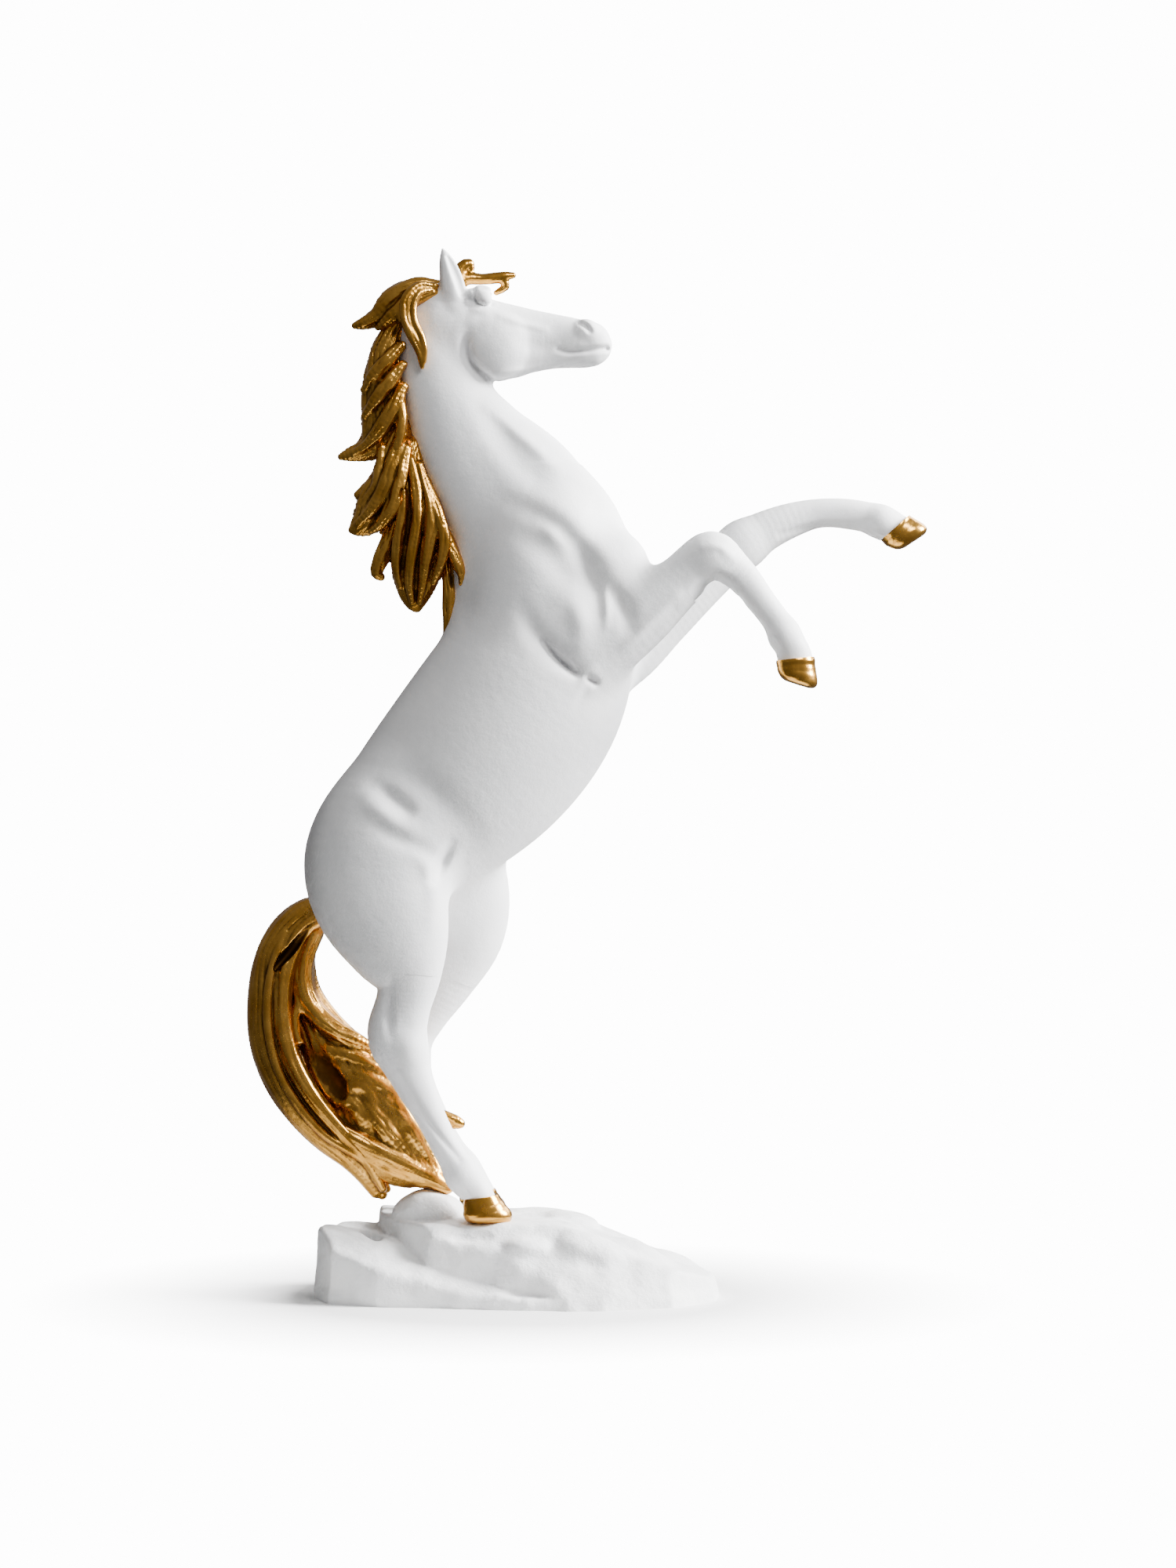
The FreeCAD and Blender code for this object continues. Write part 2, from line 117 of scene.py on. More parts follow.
class Sweep:
    """A limb along stations (x, y, z, deep, wide): half its size in the side view and half across it.

    grooves are cut along it, as many as that, groove_deep mm deep at its thickest."""

    def __init__(self, stations, blend=0.0, power=2, step=3.0, cut=False, grooves=0, groove_deep=0.0,
                 phase=0.0, wave=0.4, across=(0, 1, 0)):
        line = smooth_line(stations, step)
        self.a, self.d = line[:-1, :3], np.diff(line[:, :3], axis=0)
        self.r, self.dr = line[:-1, 3:5], np.diff(line[:, 3:5], axis=0)
        self.across = np.asarray(across, float)
        self.blend, self.power, self.cut = blend, power, cut
        self.grooves, self.groove_deep, self.phase, self.wave = grooves, groove_deep, phase, wave
        self.thick = np.maximum(line[:-1, 3:5].max(1), line[1:, 3:5].max(1))
        self.thin = np.minimum(line[:-1, 3:5].min(1), line[1:, 3:5].min(1))
        reach = line[:, 3:5].max(1)[:, None] + blend
        self.low, self.high = (line[:, :3] - reach).min(0), (line[:, :3] + reach).max(0)
        lengths = np.linalg.norm(self.d, axis=1)
        self.start = np.concatenate([[0], np.cumsum(lengths)[:-1]]) / max(lengths.sum(), 1e-6)
        self.part = lengths / max(lengths.sum(), 1e-6)
        self.inplane = self.d - (self.d @ self.across)[:, None] * self.across
        self.inplane2 = np.maximum((self.inplane**2).sum(1), 1e-9)
        self.left = np.cross(self.across, self.inplane) / np.sqrt(self.inplane2)[:, None]

    def __call__(self, p):
        use = within_reach(p, self.a, self.d, self.thick, self.thin)
        a, d, inplane, inplane2 = self.a[use], self.d[use], self.inplane[use], self.inplane2[use]
        rel = p[:, None, :] - a
        t = np.clip(np.einsum("ijk,jk->ij", rel, inplane) / inplane2, 0, 1)
        q = rel - t[..., None] * d
        side = q @ self.across
        flat = np.sqrt(np.maximum(np.einsum("ijk,ijk->ij", q, q) - side * side, 0))
        r = self.r[use] + t[..., None] * self.dr[use]
        dist = rounded(flat, np.abs(side), r[..., 0], r[..., 1], self.power)
        best = dist.argmin(1)
        rows = np.arange(len(p))
        d = dist[rows, best]
        if self.grooves:
            offset = (q[rows, best] * self.left[use][best]).sum(1) / r[rows, best, 0]
            along = self.start[use][best] + t[rows, best] * self.part[use][best]
            bend = np.sin(13 * along + 3 * offset + 7 * self.phase) + 0.6 * np.sin(29 * along - 4 * offset)
            turn = self.grooves * offset / 2 + self.phase
            ridge = np.abs(np.sin(math.pi * turn + self.wave * bend))
            fine = np.abs(np.sin(math.pi * (2.3 * turn + 0.3) - 1.4 * self.wave * bend))
            fade = np.clip(r[rows, best, 0] / 3, 0, 1) * np.clip((1 - along) * 6, 0, 1)
            fade = fade * (0.72 + 0.28 * np.sin(17 * along + 5 * turn))
            d = d + self.groove_deep * fade * ((1 - ridge) ** 1.4 + 0.4 * (1 - fine) ** 1.6)
        return d


class Ball:
    """An ellipsoid with half sizes (along, across, up). In degrees, tilt turns it in the side view and yaw
    about the vertical."""

    def __init__(self, centre, radii, tilt=0.0, yaw=0.0, blend=0.0, cut=False):
        self.centre, self.radii = np.asarray(centre, float), np.asarray(radii, float)
        a, b = math.radians(tilt), math.radians(yaw)
        turn = np.array([[math.cos(a), 0, -math.sin(a)], [0, 1, 0], [math.sin(a), 0, math.cos(a)]])
        swing = np.array([[math.cos(b), -math.sin(b), 0], [math.sin(b), math.cos(b), 0], [0, 0, 1]])
        self.turn = swing @ turn
        self.blend, self.cut = blend, cut
        reach = self.radii.max() + blend
        self.low, self.high = self.centre - reach, self.centre + reach

    def __call__(self, p):
        q = (p - self.centre) @ self.turn
        u = q / self.radii
        k = np.sqrt((u * u).sum(1))
        grad = np.sqrt(((u / self.radii) ** 2).sum(1))
        return k * (k - 1) / np.maximum(grad, 1e-6)


class Stroke:
    """Raises (or, below nought, lowers) the surface by height along a line of (x, z, strength) points
    seen from the side, where strength may be left out. side -1 is the horse's right, 1 its left, 0 both.
    from_y is where it starts."""

    def __init__(self, points, width, height, side=0, from_y=1.0, fade=3.0):
        pts = np.array([tuple(q) + (1.0,) * (3 - len(q)) for q in points], float)
        rows = np.column_stack([pts[:, 0], np.zeros(len(pts)), pts[:, 1], pts[:, 2]])
        if len(rows) > 2:
            rows = smooth_line(rows, 1.5)
        self.a, self.d = rows[:-1][:, [0, 2]], np.diff(rows[:, [0, 2]], axis=0)
        self.s, self.ds = rows[:-1, 3], np.diff(rows[:, 3])
        self.width, self.height, self.side, self.from_y, self.fade = width, height, side, from_y, fade
        reach = 2.6 * width
        flat = rows[:, [0, 2]]
        self.low = np.array([flat[:, 0].min() - reach, -99, flat[:, 1].min() - reach])
        self.high = np.array([flat[:, 0].max() + reach, 99, flat[:, 1].max() + reach])

    def __call__(self, p):
        flat = p[:, [0, 2]]
        use = within_reach(flat, self.a, self.d, 0, 0)
        a, d = self.a[use], self.d[use]
        rel = flat[:, None, :] - a
        t = np.clip(np.einsum("ijk,jk->ij", rel, d) / np.maximum((d**2).sum(1), 1e-9), 0, 1)
        q = rel - t[..., None] * d
        d2 = np.einsum("ijk,ijk->ij", q, q)
        best = d2.argmin(1)
        rows = np.arange(len(p))
        strength = self.s[use][best] + t[rows, best] * self.ds[use][best]
        y = np.abs(p[:, 1]) if self.side == 0 else p[:, 1] * self.side
        mask = np.clip((y - self.from_y) / self.fade, 0, 1)
        return self.height * strength * np.exp(-d2[rows, best] / self.width**2) * mask * mask * (3 - 2 * mask)


def joined(a, b, blend):
    h = np.maximum(blend - np.abs(a - b), 0) / max(blend, 1e-6)
    return np.minimum(a, b) - h * h * blend / 4


def field(p, parts, far=50.0):
    """The distance at points p, which all lie in one small box."""
    low, high = p.min(0), p.max(0)
    f = np.full(len(p), far)
    for part in parts:
        if np.any(part.low > high + 4) or np.any(part.high < low - 4):
            continue
        if isinstance(part, Stroke):
            f = f - part(p)
        elif part.cut:
            f = -joined(-f, part(p), part.blend)
        else:
            f = joined(f, part(p), part.blend)
    return f


class Grid:
    """A field sampled on voxels, exactly near its surface and by sign elsewhere."""

    def __init__(self, parts, voxel, low=None, high=None):
        tile = 8
        solids = [q for q in parts if not isinstance(q, Stroke) and not q.cut]
        low = np.min([q.low for q in solids], axis=0) - 2 if low is None else np.asarray(low, float)
        high = np.max([q.high for q in solids], axis=0) + 2 if high is None else np.asarray(high, float)
        self.h = voxel
        tiles = np.ceil((high - low) / (voxel * tile)).astype(int)
        self.low = low
        n = tiles * tile
        self.f = np.full(n, 50.0, np.float32)
        cells = np.stack(np.meshgrid(*[np.arange(k) for k in tiles], indexing="ij"), -1).reshape(-1, 3)
        centres = low + (cells + 0.5) * tile * voxel - voxel / 2
        reach = tile * voxel * math.sqrt(3) / 2
        local = np.stack(np.meshgrid(*[np.arange(tile)] * 3, indexing="ij"), -1).reshape(-1, 3)
        lows, highs = np.array([q.low for q in parts]), np.array([q.high for q in parts])
        solid = np.array([not isinstance(q, Stroke) and not q.cut for q in parts])
        meets = np.ones((len(cells), len(parts)), bool)
        for axis in range(3):
            c = centres[:, axis, None]
            meets &= (lows[:, axis] < c + reach + 2) & (highs[:, axis] > c - reach - 2)

        def fill(k):
            near = [parts[i] for i in np.flatnonzero(meets[k])]
            at = tuple(slice(c * tile, (c + 1) * tile) for c in cells[k])
            probe = field(centres[k][None], near)[0]
            if abs(probe) > 1.6 * reach + 4 * voxel + 1:
                self.f[at] = 50.0 if probe > 0 else -50.0
            else:
                p = low + (cells[k] * tile + local) * voxel
                self.f[at] = field(p, near).reshape(tile, tile, tile)

        with ThreadPoolExecutor(4) as pool:
            list(pool.map(fill, np.flatnonzero((meets & solid).any(1)), chunksize=16))
        for axis in range(3):
            edge = [slice(None)] * 3
            for end in (0, -1):
                edge[axis] = end
                self.f[tuple(edge)] = np.maximum(self.f[tuple(edge)], 0.01)

    def at(self, p):
        g = np.clip((p - self.low) / self.h, 0, np.array(self.f.shape) - 1.001)
        i = g.astype(int)
        t = g - i
        out = np.zeros(len(p))
        for dx in (0, 1):
            for dy in (0, 1):
                for dz in (0, 1):
                    w = (np.abs(1 - dx - t[:, 0]) * np.abs(1 - dy - t[:, 1]) * np.abs(1 - dz - t[:, 2]))
                    out += w * self.f[i[:, 0] + dx, i[:, 1] + dy, i[:, 2] + dz]
        return out

    def slope(self, p):
        g = np.empty_like(p)
        for axis in range(3):
            step = np.zeros(3)
            step[axis] = self.h * 0.75
            g[:, axis] = (self.at(p + step) - self.at(p - step)) / (1.5 * self.h)
        return g


def neighbours(quads, count):
    """The ends of every edge, each edge once per face, and how many ends each vertex has."""
    a, b = quads.reshape(-1), np.roll(quads, -1, axis=1).reshape(-1)
    return a, b, np.bincount(a, minlength=count) + np.bincount(b, minlength=count)


def mean_of_neighbours(verts, a, b, degree):
    mean = np.zeros_like(verts)
    for axis in range(3):
        mean[:, axis] = (np.bincount(a, verts[b, axis], len(verts))
                         + np.bincount(b, verts[a, axis], len(verts))) / degree
    return mean


def surface_net(grid, relax=3):
    """Vertices and quads of the field's zero level, evened out and moved back onto it."""
    f = grid.f
    inside = f < 0
    corner = [(i, j, k) for i in (0, 1) for j in (0, 1) for k in (0, 1)]
    shape = np.array(f.shape) - 1

    def block(a, c):
        return a[c[0]:c[0] + shape[0], c[1]:c[1] + shape[1], c[2]:c[2] + shape[2]]

    count = sum(block(inside, c).astype(np.int8) for c in corner)
    cells = np.argwhere((count > 0) & (count < 8))
    number = np.full(shape, -1, np.int64)
    number[tuple(cells.T)] = np.arange(len(cells))
    total, weight = np.zeros((len(cells), 3)), np.zeros(len(cells))
    for c in corner:
        for axis in range(3):
            if c[axis]:
                continue
            e = list(c)
            e[axis] = 1
            fa = f[tuple((cells + c).T)].astype(float)
            fb = f[tuple((cells + e).T)].astype(float)
            hit = (fa < 0) != (fb < 0)
            t = np.where(hit, fa / np.where(hit, fa - fb, 1), 0)
            point = np.array(c, float) + t[:, None] * (np.array(e) - np.array(c))
            total += point * hit[:, None]
            weight += hit
    verts = grid.low + (cells + total / weight[:, None]) * grid.h
    quads = []
    for axis in range(3):
        u, v = [a for a in range(3) if a != axis]
        ahead = [slice(1, -1)] * 3
        ahead[axis] = slice(0, -1)
        behind = list(ahead)
        behind[axis] = slice(1, None)
        here, there = inside[tuple(ahead)], inside[tuple(behind)]
        at = np.argwhere(here != there)
        out = here[tuple(at.T)]
        at[:, u] += 1
        at[:, v] += 1
        ring = []
        for du, dv in ((-1, -1), (0, -1), (0, 0), (-1, 0)):
            c = at.copy()
            c[:, u] += du
            c[:, v] += dv
            ring.append(number[tuple(c.T)])
        quad = np.stack(ring, 1)
        flip = out if axis == 1 else ~out
        quad[flip] = quad[flip][:, ::-1]
        quads.append(quad)
    quads = np.vstack(quads)
    a, b, degree = neighbours(quads, len(verts))
    for _ in range(relax):
        verts = verts + EVENING * (mean_of_neighbours(verts, a, b, degree) - verts)
        for _ in range(2):
            g = grid.slope(verts)
            size = np.maximum((g * g).sum(1), 0.05)
            move = g * (grid.at(verts) / size)[:, None]
            verts = verts - np.clip(move, -grid.h, grid.h)
    return verts, quads


# ---------------------------------------------------------------- from field to object

def shade_by_slope(mesh, grid, planes):
    """Normals from the field itself, so that neighbouring pieces meet without a seam; cut faces stay flat."""
    n = len(mesh.vertices)
    co = np.empty(n * 3, np.float32)
    mesh.vertices.foreach_get("co", co)
    p = co.reshape(-1, 3).astype(float) / MM
    g = grid.slope(p)
    g /= np.maximum(np.linalg.norm(g, axis=1), 1e-6)[:, None]
    loops = np.empty(len(mesh.loops), np.int32)
    mesh.loops.foreach_get("vertex_index", loops)
    normals = g[loops]
    count = len(mesh.polygons)
    start, total = np.empty(count, np.int32), np.empty(count, np.int32)
    mesh.polygons.foreach_get("loop_start", start)
    mesh.polygons.foreach_get("loop_total", total)
    face_n = np.empty(count * 3, np.float32)
    mesh.polygons.foreach_get("normal", face_n)
    centre = np.empty(count * 3, np.float32)
    mesh.polygons.foreach_get("center", centre)
    face_n, centre = face_n.reshape(-1, 3), centre.reshape(-1, 3) / MM
    owner = np.repeat(np.arange(count), total)
    flat = np.zeros(count, bool)
    for point, way, _ in planes:
        way = np.asarray(way, float) / np.linalg.norm(way)
        on = np.abs((centre - point) @ way) < 0.02
        flat |= on & (np.abs(face_n @ way) > 0.99)
    normals = np.where(flat[owner][:, None], face_n[owner], normals)
    mesh.normals_split_custom_set(normals)


def largest_part(bm):
    """The vertices of the biggest connected part. What a cut leaves loose beyond its reach isn't in it."""
    left, best = set(bm.verts), []
    while len(left) > len(best):
        part, fresh = [], [left.pop()]
        while fresh:
            v = fresh.pop()
            part.append(v)
            for e in v.link_edges:
                w = e.other_vert(v)
                if w in left:
                    left.remove(w)
                    fresh.append(w)
        best = max(best, part, key=len)
    return best


def trimmed(mesh, planes):
    """Cuts away what lies beyond each plane, within reach of its point, closes the cut and drops crumbs."""
    bm = bmesh.new()
    bm.from_mesh(mesh)
    for point, way, reach in planes:
        co, no = Vector(point) * MM, Vector(way).normalized()
        far = reach * MM
        faces = [q for q in bm.faces if (q.calc_center_median() - co).length < far]
        geom = faces + list({e for q in faces for e in q.edges}) + list({v for q in faces for v in q.verts})
        bmesh.ops.bisect_plane(bm, geom=geom, dist=1e-7, plane_co=co, plane_no=no)
        gone = [v for v in bm.verts if (v.co - co).dot(no) > 1e-6 and (v.co - co).length < far]
        bmesh.ops.delete(bm, geom=gone, context="VERTS")
        rim = [e for e in bm.edges if e.is_boundary]
        bmesh.ops.holes_fill(bm, edges=rim, sides=0)
    kept = set(largest_part(bm))
    bmesh.ops.delete(bm, geom=[v for v in bm.verts if v not in kept], context="VERTS")
    bmesh.ops.triangulate(bm, faces=[q for q in bm.faces if len(q.verts) > 4])
    bmesh.ops.recalc_face_normals(bm, faces=bm.faces)
    bm.to_mesh(mesh)
    bm.free()


def hollows(grid, verts, quads):
    """How deep in a recess each point lies, fine creases and broad hollows together: above 1 in a deep one,
    and below nought on a ridge."""
    a, b, degree = neighbours(quads, len(verts))
    slope = grid.slope(verts)
    slope /= np.maximum(np.linalg.norm(slope, axis=1), 1e-6)[:, None]
    mean, out, done = verts.copy(), np.zeros(len(verts)), 0
    for reach, full, share in RECESS_SCALES:
        rounds = int((reach / grid.h) ** 2)
        for _ in range(rounds - done):
            mean = mean_of_neighbours(mean, a, b, degree)
        done = rounds
        out += share * np.clip(((mean - verts) * slope).sum(1) / full, -0.6, 1.5)
    return out


def sculpt(name, parts, voxel, nodes, material, planes=(), low=None, high=None, relax=3, carve=None,
           pocket_shades=()):
    """Meshes a field as one piece that stands for the CAD nodes. planes are (point, way out, reach). The
    balls given for the pockets get painted shade round them, added to the recess depth. carve changes the
    mesh once the planes have cut it."""
    grid = Grid(parts, voxel * COARSE, low, high)
    verts, quads = surface_net(grid, relax)
    mesh = bpy.data.meshes.new(name)
    mesh.vertices.add(len(verts))
    mesh.vertices.foreach_set("co", (verts * MM).astype(np.float32).ravel())
    mesh.loops.add(quads.size)
    mesh.loops.foreach_set("vertex_index", quads.astype(np.int32).ravel())
    mesh.polygons.add(len(quads))
    mesh.polygons.foreach_set("loop_start", np.arange(0, quads.size, 4, dtype=np.int32))
    mesh.update(calc_edges=True)
    # how deep in a recess each vertex lies: the resins paint shade by it, the gold paints antique brown and
    # shade by it
    recess = mesh.attributes.new("cavity", "FLOAT", "POINT")
    depth = hollows(grid, verts, quads)
    # painted shade round the deep pockets of the hair, added to that recess depth
    for ball in pocket_shades:
        depth += POCKET_SHADE * np.exp(-(np.maximum(ball(verts), 0) / POCKET_SHADE_REACH) ** 2)
    recess.data.foreach_set("value", depth.astype(np.float32))
    trimmed(mesh, planes)
    if carve:
        carve(mesh)
    mesh.polygons.foreach_set("use_smooth", np.ones(len(mesh.polygons), bool))
    shade_by_slope(mesh, grid, planes)
    return add_piece(name, mesh, nodes, material)


def add_piece(name, mesh, nodes, material):
    obj = bpy.data.objects.new(name, mesh)
    bpy.context.scene.collection.objects.link(obj)
    mesh.materials.append(material)
    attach(obj, "root")
    if nodes:
        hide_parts(*nodes)
    return obj


# ---------------------------------------------------------------- the white horse

TRUNK = [(-60, 0, 139, 10, 13), (-53, 0, 156, 23.5, 22.5), (-30, 0, 177.5, 32, 27),
         (-12, 0, 196, 36.3, 28.5), (1, 0, 213.5, 36.4, 27.5), (10, 0, 231, 32.6, 24.5),
         (15, 0, 250, 30, 21), (12, 0, 268, 25, 16)]
NECK = [(9, 0, 246, 27, 17), (8, 0, 264, 29.5, 17), (-0.5, 0, 285, 26.6, 14), (-13.4, 0, 304, 19.6, 11.5),
        (-23, 0, 321, 14.4, 10), (-28, 0, 336, 12.2, 9), (-29, 0, 347, 11.2, 8.6), (-27.5, 0, 356, 8.5, 8),
        (-25, 0, 361, 4.5, 5.5)]
CREST = [(-35, 0, 348, 7, 5), (-34.5, 0, 337, 7.6, 5.4), (-32, 0, 324, 8.4, 6.4), (-28, 0, 311, 9.4, 7.4),
         (-22.5, 0, 298, 10.4, 8.4), (-15, 0, 285, 11, 9)]
HIND_RIGHT = [(-44, -11, 180, 14, 11), (-49, -14, 164, 22, 14), (-49.5, -16, 148, 24.5, 14),
              (-43.5, -17, 131, 19.2, 12.5), (-38.8, -17, 117, 12, 9.4),
              (-40.4, -17, 104, 9.6, 7.2), (-41.8, -17, 93, 9.8, 6.4), (-37, -17, 79, 7.3, 5.4),
              (-30, -17, 64.5, 5.3, 4.6), (-23.5, -17, 52, 5.2, 4.6), (-18, -17, 43.6, 6.2, 5.4),
              (-13.4, -17, 37.4, 5.3, 5.4), (-11.5, -17, 33, 5.6, 5.6)]
HIND_LEFT = [(-40, 11, 180, 14, 11), (-38, 14, 164, 24, 14), (-30.5, 16, 148, 26.5, 14),
             (-23, 17, 131, 18, 11.5), (-27.5, 17, 115, 12.6, 9), (-36, 17, 101, 10.4, 7.2),
             (-42, 17, 90, 10, 6.4), (-38.5, 17, 78, 7.3, 5.4), (-31.5, 17, 64.5, 5.3, 4.6),
             (-25, 17, 52, 5.2, 4.6), (-19.5, 17, 43.6, 6.2, 5.4), (-15, 17, 37.4, 5.3, 5.4),
             (-13, 17, 33, 5.6, 5.6)]
FORE_RIGHT = [(8, -9, 230, 13, 9), (20, -12, 229.5, 15, 11), (32, -13.5, 236.5, 14.3, 10.4),
              (44, -14.5, 244.5, 12, 8.8), (58, -15.5, 256, 9.3, 7.2), (69, -16, 264.3, 8.6, 7),
              (78.5, -16, 258.5, 6.8, 5.6), (87.5, -16, 248, 5.4, 4.6), (95, -16, 237.5, 5.5, 4.9),
              (99, -16, 229, 6.2, 5.3), (99.3, -16, 224, 6.2, 5.5)]
FORE_LEFT = [(8, 9, 226, 13, 9), (22, 12, 225, 15, 11), (37, 13.5, 232, 13.4, 10),
             (52, 15, 244, 10.6, 8.6), (68, 16, 258.5, 8.8, 7), (81, 17, 270.5, 8.4, 6.8),
             (93, 17.5, 277.5, 7, 6), (107, 18, 281.9, 5.7, 5), (121.5, 18, 282, 5.6, 4.9),
             (132, 18, 279.6, 5.5, 5.1), (137, 18, 276.8, 6, 5.4), (140, 18, 274, 6, 5.4)]
SKULL = [(-26, 0, 351, 7, 7.5), (-16, 0, 347.5, 11.6, 9.6), (-7, 0, 343.4, 13.8, 8.4),
         (3, 0, 343.3, 11.6, 6.6), (12, 0, 343.2, 9.9, 5.6), (20, 0, 342.6, 8.9, 5.6),
         (26, 0, 342, 7.8, 6), (28.6, 0, 341.2, 5.4, 5)]

BELOW_LEFT_CUT = (-31.8, 17, 108, 11.5, 8.1)        # where the left thigh ends in the trunk's own field
# Where two castings meet: a point on the joint, and the way from the casting nearer the trunk to the other.
HEAD_CUT = ((-16, 0, 334), (0.623, 0, 0.783))
HIND_RIGHT_CUT = ((-38.8, -17, 117), (-0.12, 0, -1))
HIND_LEFT_CUT = ((-27.5, 17, 115), (-0.42, 0, -0.91))
FORE_RIGHT_CUT = ((58, -15.5, 256), (0.79, 0, 0.61))
FORE_LEFT_CUT = ((52, 15, 244), (0.75, 0, 0.66))
HOOF_CUTS = {
    "right_hind": ((-13, -17, 37.3), (0.14, 0, -0.99)),
    "left_hind": ((-15, 17, 36), (0.14, 0, -0.99)),
    "right_fore": ((99.2, -16, 228.6), (0.1, 0, -0.995)),
    "left_fore": ((137, 18, 277.2), (0.66, 0, -0.75)),
}


def away(cut, reach):
    return (cut[0], cut[1], reach)


def back(cut, reach):
    return (cut[0], tuple(-c for c in cut[1]), reach)


def both(centre, radii, **more):
    """The same ball on the right and left, given the right one's centre."""
    x, y, z = centre
    return [Ball((x, side * y, z), radii, **more) for side in (1, -1)]


def trunk_parts():
    parts = [Sweep(TRUNK, step=2.5), Sweep(NECK, blend=12, step=2.5)]
    left_thigh = HIND_LEFT[:5] + [BELOW_LEFT_CUT]
    parts += [Sweep(HIND_RIGHT[:6], blend=9, power=2.3), Sweep(left_thigh, blend=9, power=2.3)]
    parts += both((6, -10, 262), (12, 8, 22), tilt=-25, blend=12)         # shoulder blade
    parts += both((20, -12.5, 243), (9, 8.5, 15), tilt=18, blend=7)       # triceps
    parts += both((37, -10.5, 261), (10, 9, 11), blend=9)                 # breast
    parts += [Sweep(FORE_RIGHT[:6], blend=6, power=2.2), Sweep(FORE_LEFT[:6], blend=6, power=2.2)]
    parts += [Ball((-10, 0, 256), (12, 6, 20), tilt=-20, blend=10)]             # withers
    return parts + skull_parts() + trunk_strokes()


# Lines drawn on the trunk and neck, seen from the side: points with their strength, width and height.
TRUNK_STROKES = [
    # the soft hollow behind the triceps
    ([(2, 246, 0.2), (7, 237, 0.8), (14, 229, 1), (21, 223.5, 0.6)], 3.6, -1.7),
    # the band of muscle from the neck to the breast, and the groove under its edge
    ([(4, 288, 0.2), (18, 280, 1), (28, 270, 1), (35, 258, 0.7)], 6.5, 1.6),
    ([(-4, 285, 0.2), (7, 280, 0.7), (16, 273.5, 0.9), (23, 265, 1), (27.5, 255, 0.8), (28.6, 245, 0.4)],
     3.8, -1.2),
    ([(-2, 273, 0.2), (6, 269.5, 0.8), (13, 264, 1), (20, 255, 0.5)], 5.0, -1.1),
    ([(8, 276, 0.3), (12.7, 272.8, 1), (17, 269, 0.5)], 2.8, 0.9),
    # triceps, the thin ridge in front of it and the hollow where the forearm starts
    ([(19.5, 250, 0.4), (22.4, 243, 1), (23, 235, 0.6)], 4.0, 1.1),
    ([(31.2, 254, 0.4), (32, 247, 1), (31.8, 240, 0.4)], 1.5, 0.8),
    ([(34.5, 252, 0.4), (38, 246, 1.1), (39.5, 240, 0.5)], 3.2, -1.7),
    # forearm
    ([(36, 229, 0.2), (45, 238, 1), (57, 250, 0.7)], 2.6, 0.8),
    ([(30, 226, 0.3), (42, 233, 0.8), (56, 246, 0.6)], 1.8, -0.6),
    # neck: the edge of the windpipe, and the long hollow behind it
    ([(-10, 318.5, 0.5), (-0.4, 310, 1), (8, 303, 1), (15, 296, 0.3)], 2.4, 0.7),
    ([(-14, 322, 0.3), (-6, 309, 0.9), (4, 296, 0.8), (16, 284, 0.2)], 5.0, -1.3),
    # flank: the hollow, the ridge under it, and the thigh's front edge
    ([(-50, 183.5, 0.3), (-45, 179.5, 1), (-39, 174.6, 0.9), (-36, 171.8, 0.2)], 3.2, -1.6),
    ([(-55, 180, 0.3), (-47, 174, 1), (-38, 168.5, 0.4)], 4.0, 1.0),
    ([(-52, 171, 0.1), (-43, 165.5, 0.9), (-35, 161.5, 0.9), (-29, 158, 0.3)], 3.2, -0.9),
    ([(-45, 190, 0.2), (-30, 182, 0.7), (-17, 168, 0.6), (-14, 158, 0.2)], 5.0, -1.0),
]
RIGHT_STROKES = [       # on the right side only: the elbow's slit, the girth's fold and the stifle
    ([(9.5, 234.5, 0.3), (14, 229.3, 1), (18, 225.8, 1.3), (21, 223.4, 0.7)], 1.35, -3.2),
    ([(26, 221, 1), (27.8, 220, 1)], 1.2, -1.8),
    ([(25, 218.5, 0.6), (21, 210, 0.1)], 1.5, -0.7),
    ([(-29, 150, 0.5), (-26.5, 155.5, 1.1), (-23, 162.5, 0.3)], 1.9, -1.8),
    ([(-36, 160, 0.3), (-31, 154, 0.9), (-29, 145, 0.8), (-29.5, 135, 0.3)], 2.8, 0.8),
]


def strokes(table, **more):
    return [Stroke(points, width, height, **more) for points, width, height in table]


def trunk_strokes():
    return strokes(TRUNK_STROKES) + strokes(RIGHT_STROKES, side=-1, from_y=6)


def leg_parts(stations):
    """A hind leg from its joint down."""
    y = stations[5][1]
    side = -1 if y < 0 else 1
    on = dict(side=side, from_y=8, fade=2)
    hock, cannon, fetlock = stations[6], stations[8], stations[10]
    parts = [Sweep(stations, power=2.2, step=2.5)]
    parts += [Ball((hock[0] - 4.9, y, hock[2] + 3), (4.2, 3.8, 8), tilt=4, blend=7)]
    parts += [Ball((hock[0] + 3.5, y, hock[2] - 3), (5.5, 6.6, 7), blend=4)]
    parts += [Ball((fetlock[0] - 1.5, y, fetlock[2] + 1), (5.4, 5.6, 5), blend=3)]
    parts += [Stroke([(hock[0] - 2.5, hock[2] + 22, 0.3), (hock[0] - 3.4, hock[2] + 10, 1.1),
                      (hock[0] - 3, hock[2] + 2, 0.4)], 1.9, -0.9, **on)]
    parts += [Stroke([(hock[0] - 0.5, hock[2] - 10, 0.4), (cannon[0] - 1.4, cannon[2], 1),
                      (fetlock[0] - 2, fetlock[2] + 7, 0.5)], 1.1, -0.75, **on)]
    return parts


